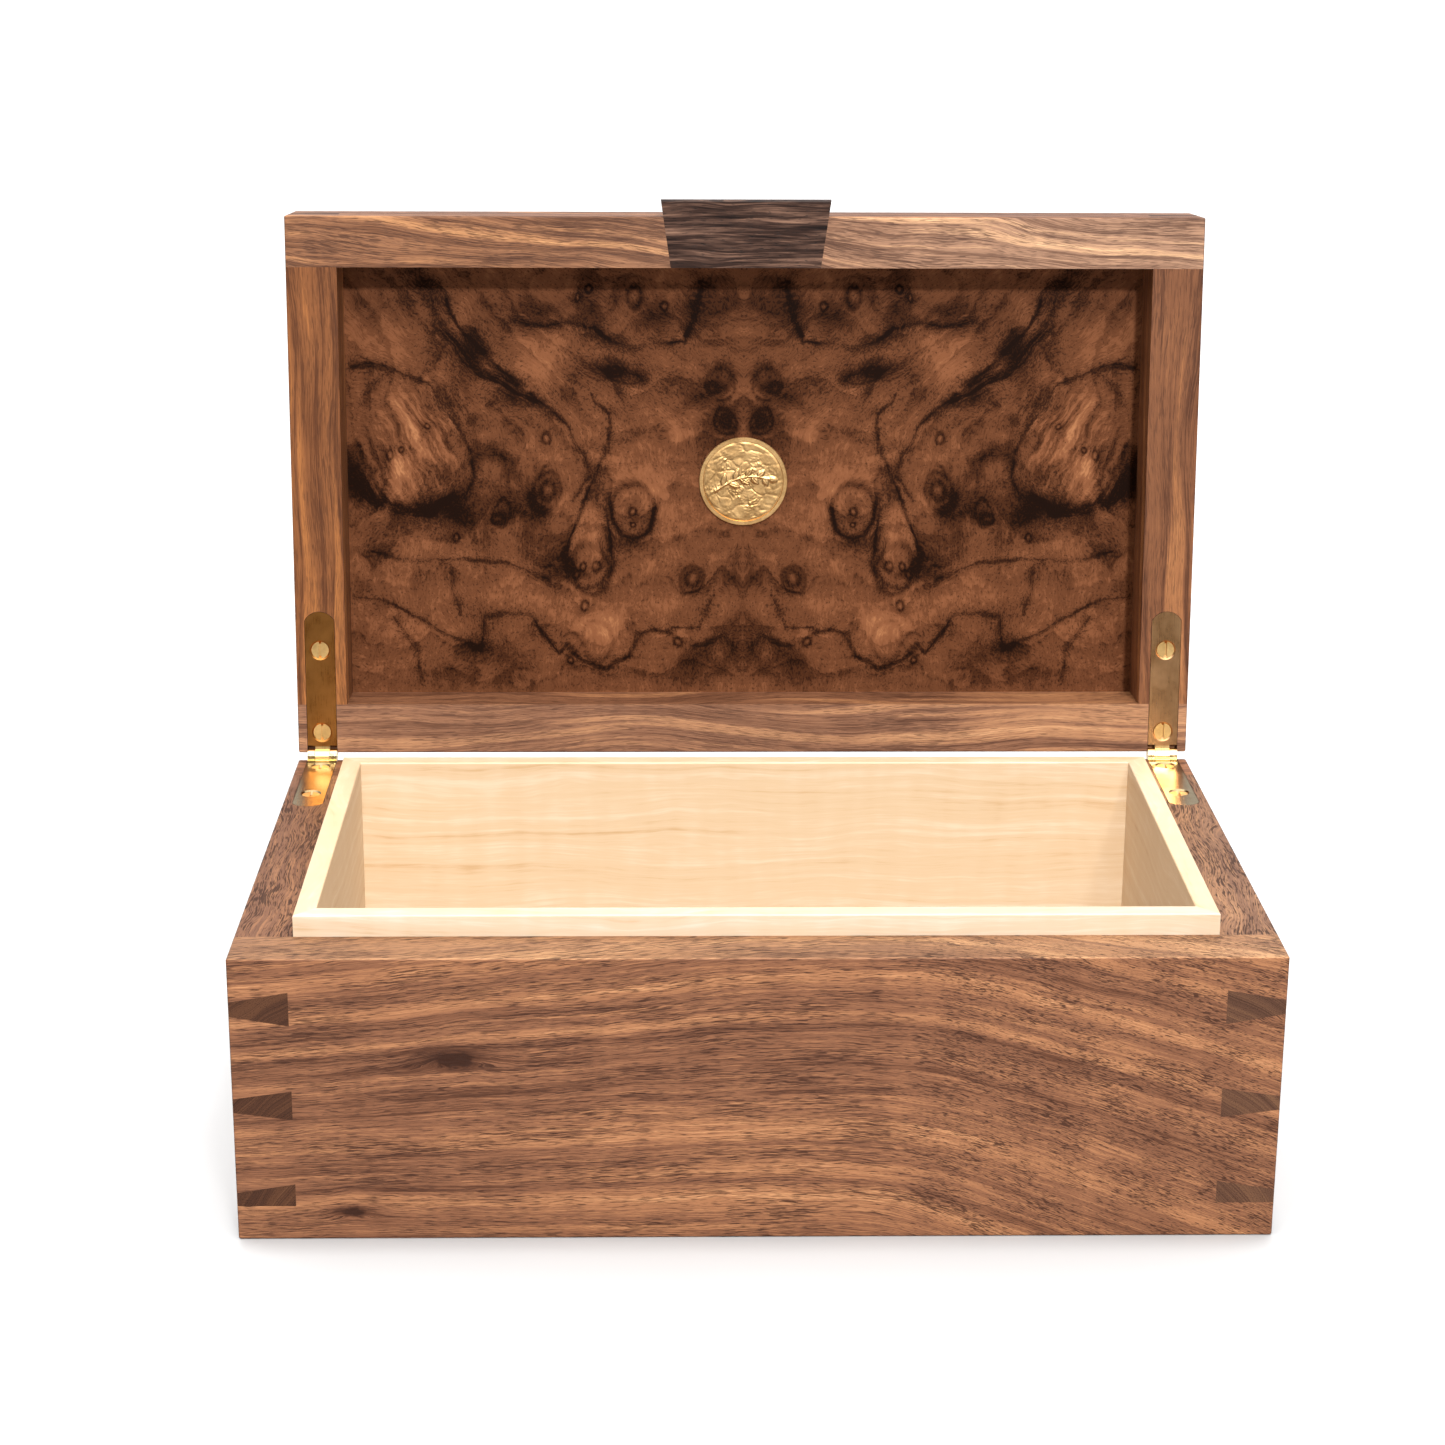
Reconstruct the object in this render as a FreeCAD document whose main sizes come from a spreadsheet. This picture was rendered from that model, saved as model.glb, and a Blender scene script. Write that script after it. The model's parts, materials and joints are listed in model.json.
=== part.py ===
import FreeCAD, Part
import os
import re
import Sketcher

# Dovetailed walnut watch box with a maple liner, a framed burl lid and two side-rail stop hinges.
# Millimetres, +X to the right, +Y to the back, +Z up. The origin is the centre of the case's
# footprint on its underside. The lid stands open against the stops in its hinges.
#
# Case pieces are drawn straight in that frame. Everything on the hinge line is drawn in the hinge
# frame, with its origin on the hinge axis and the lid closed, and Placement then opens the lid.

DIMENSIONS = {
    # the outline that the case and the lid share
    "width": (291, "case width, side to side"),
    "depth": (173.5, "case depth, front to back"),
    "height": (84.5, "case height to the rim"),
    "wall": (16.5, "thickness of the case boards"),
    "ease": (0.6, "rounding of the outer edges"),
    # dovetail pins, as heights above the underside or above the lid's lower face
    "pin_narrow": (4.1, "height of a pin at the outer corner"),
    "pin_top": (69.6, "middle of the case's top pin"),
    "pin_top_wide": (10, "its height at the inner side"),
    "pin_mid": (40.8, "middle of the case's middle pin"),
    "pin_mid_wide": (8.7, "its height at the inner side"),
    "pin_low": (10.2, "flat underside of the case's lowest pin"),
    "pin_low_wide": (6.7, "its height at the inner side"),
    "pin_lid": (12.6, "middle of the lid's pin"),
    "pin_lid_wide": (9, "its height at the inner side"),
    # bottom, liner and floor pad
    "bottom_rise": (3.5, "underside of the bottom panel's tongue above the table"),
    "bottom_ply": (6, "thickness of its tongue"),
    "bottom_room": (0.25, "gap between the panel's flush field and the boards"),
    "groove": (5, "depth of the grooves that hold both panels"),
    "liner": (6.1, "thickness of the liner boards"),
    "lip": (6.3, "liner standing above the rim"),
    "liner_ease": (0.5, "rounding of the liner's top edges"),
    "pad": (2, "thickness of the floor pad"),
    "pad_room": (0.3, "room between the floor pad and the liner"),
    # lid
    "lid_height": (28.5, "thickness of the lid frame"),
    "rail": (16.1, "width of the lid rails"),
    "lid_gap": (0.3, "gap between the closed lid and the rim"),
    "recess": (19.5, "depth from the lid's lower face to its burl panel"),
    "core": (6, "thickness of the panel's core"),
    "veneer": (0.6, "thickness of the burl veneers"),
    "open_angle": (95, "lid angle at the hinges' stops, in degrees"),
    # finger pull
    "pull_outer": (53.9, "width of the pull at its free end"),
    "pull_inner": (47.6, "width of the pull at the recess"),
    "pull_thick": (5, "thickness of the pull"),
    "pull_proud": (5.2, "length of the pull beyond the lid's front face"),
    # medallion
    "medal": (29, "medallion diameter"),
    "medal_sunk": (1, "depth of the medallion below the veneer's face"),
    "medal_proud": (0.9, "height of its rim above the veneer's face"),
    "medal_field": (0.35, "height of its field above the veneer's face"),
    "medal_rim": (1.3, "width of its rim"),
    # hinges
    "pivot_back": (1.2, "hinge axis behind the rear face"),
    "pivot_up": (0.85, "hinge axis above the rim"),
    "leaf_inset": (7.8, "middle of a leaf in from the case's side face"),
    "leaf_width": (9.5, "leaf width"),
    "leaf_thick": (2.6, "leaf thickness"),
    "leaf_reach": (48, "hinge axis to the leaf's round end"),
    "leaf_flank": (45, "hinge axis to the end of the leaf's straight sides"),
    "leaf_round": (5.3, "radius of the leaf's end"),
    "shoulder": (3.6, "hinge axis to the lid leaf's shoulders"),
    "stop_wall": (2.65, "hinge axis to the case leaf's stop face"),
    "stop_play": (0.05, "gap left at the stop"),
    "knuckle": (2.45, "knuckle radius"),
    "knuckle_mid": (4.7, "width of the middle knuckle"),
    "knuckle_play": (0.1, "gap each side of the middle knuckle"),
    "pin_radius": (1, "hinge pin radius"),
    "pin_play": (0.05, "radial play in the middle knuckle"),
    "mortise_play": (0.15, "gap round a leaf in its mortise"),
    "relief": (3.4, "depth of the lid's mortise over the knuckles"),
    # hinge screws
    "screw_near": (8, "hinge axis to the near screw"),
    "screw_far": (35.3, "hinge axis to the far screw"),
    "screw_sink": (3.25, "countersink radius at the leaf's face"),
    "screw_head": (2.8, "screw head radius"),
    "screw_shank": (1.4, "screw shank radius"),
    "screw_long": (11, "leaf's face to the screw's point"),
    "slot_wide": (0.8, "width of the driver slot"),
    "slot_deep": (0.8, "depth of the driver slot"),
}

# Edges of the case in row coordinates.
SIDE = "width/2"
BACK = "depth/2"
INNER_SIDE = "(width/2 - wall)"
INNER_BACK = "(depth/2 - wall)"
FLOOR = "(bottom_rise + bottom_ply)"
# Edges of the closed lid in the hinge frame.
LID_REAR = "-pivot_back"
LID_FRONT = "-(pivot_back + depth)"
LID_INNER_REAR = "-(pivot_back + rail)"
LID_INNER_FRONT = "-(pivot_back + depth - rail)"
LID_INNER_SIDE = "(width/2 - rail)"
LID_MIDDLE = "-(pivot_back + depth/2)"
LID_FACE = "(lid_gap - pivot_up)"
LID_TOP = "(lid_gap - pivot_up + lid_height)"
PANEL_FACE = "(lid_gap - pivot_up + recess)"
PANEL_SIDE = "(width/2 - rail + groove)"
PANEL_FRONT = "-(pivot_back + depth - rail + groove)"
PANEL_REAR = "-(pivot_back + rail - groove)"
# The case leaves' upper face in the hinge frame.
RIM = "-pivot_up"

doc = FreeCAD.newDocument("WatchBox")
sheet = doc.addObject("Spreadsheet::Sheet", "Dims")
for row, (alias, (value, note)) in enumerate(DIMENSIONS.items(), 1):
    sheet.set(f"A{row}", note)
    sheet.set(f"B{row}", str(value))
    sheet.setAlias(f"B{row}", alias)
doc.recompute()


def cells(text):
    """An expression with every dimension's name pointing at its cell in the sheet."""
    return re.sub(r"[a-z_]+", lambda word: "Dims." * (word[0] in DIMENSIONS) + word[0], text)


def number(text):
    """What an expression is worth now."""
    return float(sheet.evalExpression(cells(text)))


# ---------------------------------------------------------------- sketches and features

def new_body(name, hinge_frame=False, opens=False, side="0"):
    """An empty body; in the hinge frame it sits on the hinge axis, and turns with the open lid."""
    body = doc.addObject("PartDesign::Body", name)
    body.Label = name
    if hinge_frame:
        body.Placement = FreeCAD.Placement(FreeCAD.Vector(), FreeCAD.Vector(1, 0, 0), 0)
        body.setExpression("Placement.Base.x", cells(side))
        body.setExpression("Placement.Base.y", cells("depth/2 + pivot_back"))
        body.setExpression("Placement.Base.z", cells("height + pivot_up"))
    if opens:
        body.Placement.Rotation = FreeCAD.Rotation(FreeCAD.Vector(1, 0, 0), -number("open_angle"))
        body.setExpression("Placement.Rotation.Angle", cells("-open_angle"))
    return body


def datum(body, role):
    """One of the body's own origin planes or axes."""
    return next(item for item in body.Origin.OriginFeatures if item.Role == role)


def sketch(body, plane, level="0"):
    """An empty sketch on an origin plane, moved by level along the plane's normal."""
    drawing = body.newObject("Sketcher::SketchObject", body.Name + "_sketch")
    drawing.AttachmentSupport = [(datum(body, plane), "")]
    drawing.MapMode = "FlatFace"
    drawing.setExpression("AttachmentOffset.Base.z", cells(level))
    return drawing


def outline(drawing, corners, round_edges=None):
    """A closed anticlockwise outline; round_edges gives an outward arc's radius by edge number."""
    round_edges = round_edges or {}
    first = drawing.GeometryCount
    places = [FreeCAD.Vector(number(x), number(y), 0) for x, y in corners]
    for edge, start in enumerate(places):
        end = places[(edge + 1) % len(places)]
        line = Part.LineSegment(start, end)
        if edge in round_edges:
            radius = number(round_edges[edge])
            along = end - start
            outward = FreeCAD.Vector(along.y, -along.x, 0).normalize()
            sagitta = radius - (radius ** 2 - along.Length ** 2 / 4) ** 0.5
            line = Part.Arc(start, (start + end) / 2 + outward * sagitta, end)
        drawing.addGeometry(line, False)
    for edge, corner in enumerate(corners):
        following = first + (edge + 1) % len(corners)
        drawing.addConstraint(Sketcher.Constraint("Coincident", first + edge, 2, following, 1))
        for kind, distance in zip(("DistanceX", "DistanceY"), corner):
            held = Sketcher.Constraint(kind, first + edge, 1, number(distance))
            drawing.setExpression(f"Constraints[{drawing.addConstraint(held)}]", cells(distance))
        if edge in round_edges:
            held = Sketcher.Constraint("Radius", first + edge, number(round_edges[edge]))
            drawing.setExpression(f"Constraints[{drawing.addConstraint(held)}]",
                                  cells(round_edges[edge]))


def rectangle(drawing, low, high):
    outline(drawing, [low, (high[0], low[1]), high, (low[0], high[1])])


def circle(drawing, centre, radius):
    place = FreeCAD.Vector(number(centre[0]), number(centre[1]), 0)
    ring = drawing.addGeometry(Part.Circle(place, FreeCAD.Vector(0, 0, 1), number(radius)), False)
    for kind, distance in zip(("DistanceX", "DistanceY"), centre):
        held = Sketcher.Constraint(kind, ring, 3, number(distance))
        drawing.setExpression(f"Constraints[{drawing.addConstraint(held)}]", cells(distance))
    held = Sketcher.Constraint("Radius", ring, number(radius))
    drawing.setExpression(f"Constraints[{drawing.addConstraint(held)}]", cells(radius))


def volume(body):
    return 0 if body.Shape.isNull() else body.Shape.Volume


def extrude(body, kind, drawing, length, reverse=False, both_ways=False):
    """A pad along the sketch's normal or a pocket against it; both_ways centres it."""
    before = volume(body)
    feature = body.newObject("PartDesign::" + kind, f"{body.Name}_{kind.lower()}")
    feature.Profile = drawing
    feature.setExpression("Length", cells(length))
    feature.Reversed = reverse
    if both_ways:
        feature.SideType = "Symmetric"
    doc.recompute()
    change = volume(body) - before
    if (change > 0) != (kind == "Pad") or change == 0:
        raise RuntimeError(f"{feature.Name} changed the volume of {body.Name} by {change:.3f}")
    return feature


def pad(body, drawing, length, **how):
    return extrude(body, "Pad", drawing, length, **how)


def pocket(body, drawing, length, **how):
    return extrude(body, "Pocket", drawing, length, **how)


def ease(body, radius, faces_of_block):
    """Rounds each edge that lies on two of the given planes, each an axis number and a place."""
    planes = [(axis, number(place)) for axis, place in faces_of_block]
    base = body.Tip
    names = []
    for index, edge in enumerate(base.Shape.Edges, 1):
        ends = [vertex.Point for vertex in edge.Vertexes]
        on = [plane for plane in planes if all(abs(end[plane[0]] - plane[1]) < 1e-6 for end in ends)]
        if len(on) >= 2:
            names.append(f"Edge{index}")
    feature = body.newObject("PartDesign::Fillet", body.Name + "_ease")
    feature.Base = (base, names)
    feature.setExpression("Radius", cells(radius))
    doc.recompute()


# ---------------------------------------------------------------- joinery shared by case and lid

CASE_PLANES = [(0, SIDE), (0, "-" + SIDE), (1, BACK), (1, "-" + BACK), (2, "0"), (2, "height")]
LID_PLANES = [(0, SIDE), (0, "-" + SIDE), (1, LID_REAR), (1, LID_FRONT), (2, LID_FACE), (2, LID_TOP)]


def case_pins():
    """Each case pin as (narrow low, narrow high, wide low, wide high), from the top down."""
    pins = [(f"{mid} - pin_narrow/2", f"{mid} + pin_narrow/2", f"{mid} - {mid}_wide/2",
             f"{mid} + {mid}_wide/2") for mid in ("pin_top", "pin_mid")]
    return pins + [("pin_low", "pin_low + pin_narrow", "pin_low", "pin_low + pin_low_wide")]


def lid_pins():
    middle = f"{LID_FACE} + pin_lid"
    return [(f"{middle} - pin_narrow/2", f"{middle} + pin_narrow/2",
             f"{middle} - pin_lid_wide/2", f"{middle} + pin_lid_wide/2")]


def tail_board(body, drawing, pins, low, high, socket):
    """A full-width board's outline from the front, with a socket for every pin at both ends."""
    corners = [("-" + SIDE, low), (SIDE, low)]
    for narrow_low, narrow_high, wide_low, wide_high in reversed(pins):
        corners += [(SIDE, narrow_low), (f"{SIDE} - {socket}", wide_low),
                    (f"{SIDE} - {socket}", wide_high), (SIDE, narrow_high)]
    corners += [(SIDE, high), ("-" + SIDE, high)]
    for narrow_low, narrow_high, wide_low, wide_high in pins:
        corners += [("-" + SIDE, narrow_high), (f"-({SIDE} - {socket})", wide_high),
                    (f"-({SIDE} - {socket})", wide_low), ("-" + SIDE, narrow_low)]
    outline(drawing, corners)


def pin_outlines(drawing, pins, sign, thickness):
    """The pins' end grain as seen from the front, all in one sketch."""
    for narrow_low, narrow_high, wide_low, wide_high in pins:
        outer, inner = f"{sign}{SIDE}", f"{sign}({SIDE} - {thickness})"
        corners = [(outer, narrow_low), (inner, wide_low), (inner, wide_high), (outer, narrow_high)]
        outline(drawing, corners if sign == "-" else corners[::-1])


def leaf_outline(drawing, side, flank, reach_end, play="0"):
    """Plan of a hinge leaf or its mortise, from reach_end back to the round far end."""
    half = f"(leaf_width/2 + {play})"
    corners = [(f"{side} - {half}", f"-{flank}"), (f"{side} + {half}", f"-{flank}"),
               (f"{side} + {half}", reach_end), (f"{side} - {half}", reach_end)]
    outline(drawing, corners, {0: f"leaf_round + {play}"})


def hinge_seats(body, sides, face, upwards, relief=None):
    """Mortises and pilot holes for the leaves, cut from the case's rim or the lid's lower face."""
    for side in sides:
        drawing = sketch(body, "XY_Plane", face)
        leaf_outline(drawing, side, "leaf_flank", "knuckle", "mortise_play")
        cuts = [(drawing, "leaf_thick")]
        drawing = sketch(body, "XY_Plane", face)
        for distance in ("screw_near", "screw_far"):
            circle(drawing, (side, "-" + distance), "screw_shank")
        cuts.append((drawing, "screw_long"))
        if relief:
            drawing = sketch(body, "XY_Plane", face)
            half = "(leaf_width/2 + mortise_play)"
            rectangle(drawing, (f"{side} - {half}", "-shoulder"), (f"{side} + {half}", "knuckle"))
            cuts.append((drawing, relief))
        for drawing, deep in cuts:
            if not upwards:
                drawing.setExpression("AttachmentOffset.Base.y", cells("depth/2 + pivot_back"))
            pocket(body, drawing, deep, reverse=upwards)


HINGE_SIDES = {"left": "-(width/2 - leaf_inset)", "right": "(width/2 - leaf_inset)"}
SIGNS = {"left": "-", "right": "+"}


# ---------------------------------------------------------------- case

def case_long_board(name, sign):
    """Front or back board: the tails, and a stopped groove for the bottom panel."""
    body = new_body(name)
    outer = f"{sign}{BACK}"
    drawing = sketch(body, "XZ_Plane", f"-({outer})")
    tail_board(body, drawing, case_pins(), "0", "height", "wall")
    pad(body, drawing, "wall", reverse=sign == "-")
    ease(body, "ease", CASE_PLANES)
    drawing = sketch(body, "XY_Plane", "bottom_rise")
    near, far = sorted((f"{sign}{INNER_BACK}", f"{sign}({INNER_BACK} + groove)"), key=number)
    rectangle(drawing, (f"-({INNER_SIDE} + groove)", near), (f"{INNER_SIDE} + groove", far))
    pocket(body, drawing, "bottom_ply", reverse=True)
    return body


def case_side_board(name, sign):
    """Left or right board: a plain board between the long ones, its pins, groove and mortise."""
    body = new_body(name)
    near, far = sorted((f"{sign}{INNER_SIDE}", f"{sign}{SIDE}"), key=number)
    drawing = sketch(body, "XY_Plane")
    rectangle(drawing, (near, "-" + INNER_BACK), (far, INNER_BACK))
    pad(body, drawing, "height")
    drawing = sketch(body, "XZ_Plane")
    pin_outlines(drawing, case_pins(), sign, "wall")
    pad(body, drawing, "depth", both_ways=True)
    ease(body, "ease", CASE_PLANES)
    drawing = sketch(body, "XY_Plane", "bottom_rise")
    near, far = sorted((f"{sign}{INNER_SIDE}", f"{sign}({INNER_SIDE} + groove)"), key=number)
    rectangle(drawing, (near, "-" + INNER_BACK), (far, INNER_BACK))
    pocket(body, drawing, "bottom_ply", reverse=True)
    return body


def slab(body, level, corner, thickness):
    """A rectangular slab centred on the origin, from level upwards."""
    drawing = sketch(body, "XY_Plane", level)
    rectangle(drawing, tuple(f"-({place})" for place in corner), corner)
    pad(body, drawing, thickness)


def bottom_panel():
    """A panel with a tongue in the boards' grooves and a field flush with their undersides."""
    body = new_body("bottom_panel")
    slab(body, "bottom_rise", (f"{INNER_SIDE} + groove", f"{INNER_BACK} + groove"), "bottom_ply")
    slab(body, "0", (f"{INNER_SIDE} - bottom_room", f"{INNER_BACK} - bottom_room"), "bottom_rise")


def liner_board(name, along_x, sign):
    """A mitred liner board, standing on the bottom panel with its lip above the rim."""
    body = new_body(name)
    drawing = sketch(body, "XY_Plane", FLOOR)
    run, stand = (INNER_SIDE, INNER_BACK) if along_x else (INNER_BACK, INNER_SIDE)
    corners = [(f"-{run}", f"{sign}{stand}"), (run, f"{sign}{stand}"),
               (f"{run} - liner", f"{sign}({stand} - liner)"),
               (f"-({run} - liner)", f"{sign}({stand} - liner)")]
    if not along_x:
        corners = [(y, x) for x, y in corners]
    if along_x == (sign == "+"):
        corners.reverse()
    outline(drawing, corners)
    pad(body, drawing, f"height + lip - {FLOOR}")
    axis = 1 if along_x else 0
    ease(body, "liner_ease", [(axis, f"{sign}{stand}"), (axis, f"{sign}({stand} - liner)"),
                              (2, "height + lip")])


def floor_pad():
    corner = (f"{INNER_SIDE} - liner - pad_room", f"{INNER_BACK} - liner - pad_room")
    slab(new_body("floor_pad"), FLOOR, corner, "pad")


def build_case():
    case_long_board("front_board", "-")
    back = case_long_board("back_board", "+")
    hinge_seats(back, HINGE_SIDES.values(), "height", upwards=False)
    for side, sign in SIGNS.items():
        board = case_side_board(f"{side}_side_board", sign)
        hinge_seats(board, [HINGE_SIDES[side]], "height", upwards=False)
    bottom_panel()
    for side, along_x, sign in (("front", True, "-"), ("back", True, "+"),
                                ("left", False, "-"), ("right", False, "+")):
        liner_board(f"liner_{side}", along_x, sign)
    floor_pad()


# ---------------------------------------------------------------- lid

def panel_groove(body, low, high):
    """The groove that holds the core and its veneers."""
    drawing = sketch(body, "XY_Plane", PANEL_FACE)
    rectangle(drawing, low, high)
    pocket(body, drawing, "core + 2*veneer", reverse=True)


def lid_long_rail(name, front):
    """Front or back rail: one tail board with a socket at each end."""
    body = new_body(name, hinge_frame=True, opens=True)
    outer = LID_FRONT if front else LID_REAR
    drawing = sketch(body, "XZ_Plane", f"-({outer})")
    tail_board(body, drawing, lid_pins(), LID_FACE, LID_TOP, "rail")
    pad(body, drawing, "rail", reverse=front)
    ease(body, "ease", LID_PLANES)
    near, far = (PANEL_FRONT, LID_INNER_FRONT) if front else (LID_INNER_REAR, PANEL_REAR)
    panel_groove(body, (f"-{PANEL_SIDE}", near), (PANEL_SIDE, far))
    return body


def lid_side_rail(name, sign):
    """Left or right rail, with one pin at each end."""
    body = new_body(name, hinge_frame=True, opens=True)
    near, far = sorted((f"{sign}{LID_INNER_SIDE}", f"{sign}{SIDE}"), key=number)
    drawing = sketch(body, "XY_Plane", LID_FACE)
    rectangle(drawing, (near, LID_INNER_FRONT), (far, LID_INNER_REAR))
    pad(body, drawing, "lid_height")
    drawing = sketch(body, "XZ_Plane", "pivot_back")
    pin_outlines(drawing, lid_pins(), sign, "rail")
    pad(body, drawing, "depth")
    ease(body, "ease", LID_PLANES)
    near, far = sorted((f"{sign}{LID_INNER_SIDE}", f"{sign}{PANEL_SIDE}"), key=number)
    panel_groove(body, (near, LID_INNER_FRONT), (far, LID_INNER_REAR))
    return body


def pull_outline(drawing, front):
    """The finger pull's tapered plan, from the recess out to the given front end."""
    slope = "(pull_outer - pull_inner)/2/(rail + pull_proud)"
    half = f"(pull_inner/2 + {slope}*({LID_INNER_FRONT} - ({front})))"
    outline(drawing, [(f"-{half}", front), (half, front),
                      ("pull_inner/2", LID_INNER_FRONT), ("-pull_inner/2", LID_INNER_FRONT)])


def lid_pull():
    """A dovetail key of dark rosewood, let into the front rail's underside."""
    drawing = sketch(doc.getObject("lid_front_rail"), "XY_Plane", LID_FACE)
    pull_outline(drawing, f"{LID_FRONT} - ease")
    pocket(doc.getObject("lid_front_rail"), drawing, "pull_thick", reverse=True)
    body = new_body("lid_pull", hinge_frame=True, opens=True)
    free_end = f"{LID_FRONT} - pull_proud"
    drawing = sketch(body, "XY_Plane", LID_FACE)
    pull_outline(drawing, free_end)
    pad(body, drawing, "pull_thick")
    ease(body, "ease", [(1, free_end), (2, LID_FACE), (2, f"{LID_FACE} + pull_thick")])


def medal_recess(body, level, deep):
    drawing = sketch(body, "XY_Plane", level)
    circle(drawing, ("0", LID_MIDDLE), "medal/2")
    pocket(body, drawing, deep, reverse=True)


def lid_panel():
    """The core and its two book-matched pairs of burl veneers."""
    core = new_body("lid_panel_core", hinge_frame=True, opens=True)
    drawing = sketch(core, "XY_Plane", f"{PANEL_FACE} + veneer")
    rectangle(drawing, (f"-{PANEL_SIDE}", PANEL_FRONT), (PANEL_SIDE, PANEL_REAR))
    pad(core, drawing, "core")
    medal_recess(core, f"{PANEL_FACE} + veneer", "medal_sunk - veneer")
    for face, level in (("inner", PANEL_FACE), ("outer", f"{PANEL_FACE} + veneer + core")):
        for side, sign in SIGNS.items():
            body = new_body(f"lid_{face}_veneer_{side}", hinge_frame=True, opens=True)
            near, far = sorted(("0", f"{sign}{PANEL_SIDE}"), key=number)
            drawing = sketch(body, "XY_Plane", level)
            rectangle(drawing, (near, PANEL_FRONT), (far, PANEL_REAR))
            pad(body, drawing, "veneer")
            if face == "inner":
                medal_recess(body, level, "veneer")


def medallion():
    """A turned brass disc with a raised rim, let into the middle of the inner veneer."""
    body = new_body("medallion", hinge_frame=True, opens=True)
    drawing = sketch(body, "XZ_Plane", f"-({LID_MIDDLE})")
    back, rim, field = (f"{PANEL_FACE} + medal_sunk", f"{PANEL_FACE} - medal_proud",
                        f"{PANEL_FACE} - medal_field")
    outline(drawing, [("0", field), ("medal/2 - medal_rim - medal_field/2", field),
                      ("medal/2 - medal_rim", rim), ("medal/2 - medal_field/2", rim),
                      ("medal/2", f"{rim} + medal_field/2"), ("medal/2", back), ("0", back)])
    turned = body.newObject("PartDesign::Revolution", "medallion_turned")
    turned.Profile = drawing
    turned.ReferenceAxis = (drawing, ["V_Axis"])
    turned.Angle = 360
    doc.recompute()


def build_lid():
    lid_long_rail("lid_front_rail", front=True)
    rear = lid_long_rail("lid_back_rail", front=False)
    hinge_seats(rear, HINGE_SIDES.values(), LID_FACE, upwards=True, relief="relief")
    for side, sign in SIGNS.items():
        rail = lid_side_rail(f"lid_{side}_rail", sign)
        hinge_seats(rail, [HINGE_SIDES[side]], LID_FACE, upwards=True)
    lid_pull()
    lid_panel()
    medallion()


# ---------------------------------------------------------------- hinges

def screw_holes(body, face, upwards):
    """Two countersunk holes from a leaf's visible face."""
    drawing = sketch(body, "XY_Plane", face)
    for distance in ("screw_near", "screw_far"):
        circle(drawing, ("0", "-" + distance), "screw_shank")
    doc.recompute()
    hole = body.newObject("PartDesign::Hole", body.Name + "_holes")
    hole.Profile = drawing
    hole.Reversed = upwards
    hole.DepthType = "ThroughAll"
    hole.HoleCutType = "Countersink"
    hole.HoleCutCustomValues = True
    hole.HoleCutCountersinkAngle = 90
    hole.setExpression("Diameter", cells("2*screw_shank"))
    hole.setExpression("HoleCutDiameter", cells("2*screw_sink"))
    before = volume(body)
    doc.recompute()
    if volume(body) >= before:
        raise RuntimeError(f"{hole.Name} removed nothing")


def knuckle_disc(body, width):
    drawing = sketch(body, "YZ_Plane")
    circle(drawing, ("0", "0"), "knuckle")
    pad(body, drawing, width, both_ways=True)


def knuckle_bore(body, radius):
    drawing = sketch(body, "YZ_Plane")
    circle(drawing, ("0", "0"), radius)
    pocket(body, drawing, "leaf_width + knuckle", both_ways=True)


def case_leaf(side):
    """The leaf let into the rim, with the two outer knuckles and the stop face between them."""
    body = new_body(f"{side}_hinge_case_leaf", hinge_frame=True, side=HINGE_SIDES[side])
    drawing = sketch(body, "XY_Plane", f"{RIM} - leaf_thick")
    leaf_outline(drawing, "0", "leaf_flank", "-shoulder")
    pad(body, drawing, "leaf_thick")
    drawing = sketch(body, "YZ_Plane")
    under = f"{RIM} - leaf_thick"
    outline(drawing, [("-shoulder", under), ("-stop_wall", under), ("0", "-knuckle"), ("0", RIM),
                      ("-shoulder", RIM)])
    pad(body, drawing, "leaf_width", both_ways=True)
    knuckle_disc(body, "leaf_width")
    drawing = sketch(body, "XY_Plane")
    half = "(knuckle_mid/2 + knuckle_play)"
    rectangle(drawing, (f"-{half}", "-stop_wall"), (half, "2*knuckle"))
    pocket(body, drawing, "4*leaf_thick", both_ways=True)
    knuckle_bore(body, "pin_radius")
    screw_holes(body, RIM, upwards=False)


def turned_back(y, z):
    """A point given with the lid open, carried back to the closed lid."""
    return (f"({y})*cos(open_angle) - ({z})*sin(open_angle)",
            f"({y})*sin(open_angle) + ({z})*cos(open_angle)")


def lid_leaf(side):
    """The leaf let into the lid, with the middle knuckle and the lug that meets the stop."""
    body = new_body(f"{side}_hinge_lid_leaf", hinge_frame=True, opens=True, side=HINGE_SIDES[side])
    drawing = sketch(body, "XY_Plane", LID_FACE)
    leaf_outline(drawing, "0", "leaf_flank", "-shoulder")
    pad(body, drawing, "leaf_thick")
    drawing = sketch(body, "YZ_Plane")
    above = f"{LID_FACE} + leaf_thick"
    rectangle(drawing, ("-shoulder", LID_FACE), ("0", above))
    pad(body, drawing, "knuckle_mid", both_ways=True)
    knuckle_disc(body, "knuckle_mid")
    drawing = sketch(body, "YZ_Plane")
    stop_face = "-(stop_wall - stop_play)"
    outline(drawing, [("0", "0"), turned_back(stop_face, RIM),
                      turned_back(stop_face, f"{RIM} - leaf_thick/2"),
                      turned_back(f"{stop_face}/2", "-1.2*knuckle")][::-1])
    pad(body, drawing, "knuckle_mid", both_ways=True)
    knuckle_bore(body, "pin_radius + pin_play")
    screw_holes(body, LID_FACE, upwards=True)


def hinge_pin(side):
    body = new_body(f"{side}_hinge_pin", hinge_frame=True, side=HINGE_SIDES[side])
    drawing = sketch(body, "YZ_Plane")
    circle(drawing, ("0", "0"), "pin_radius")
    pad(body, drawing, "leaf_width", both_ways=True)


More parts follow.
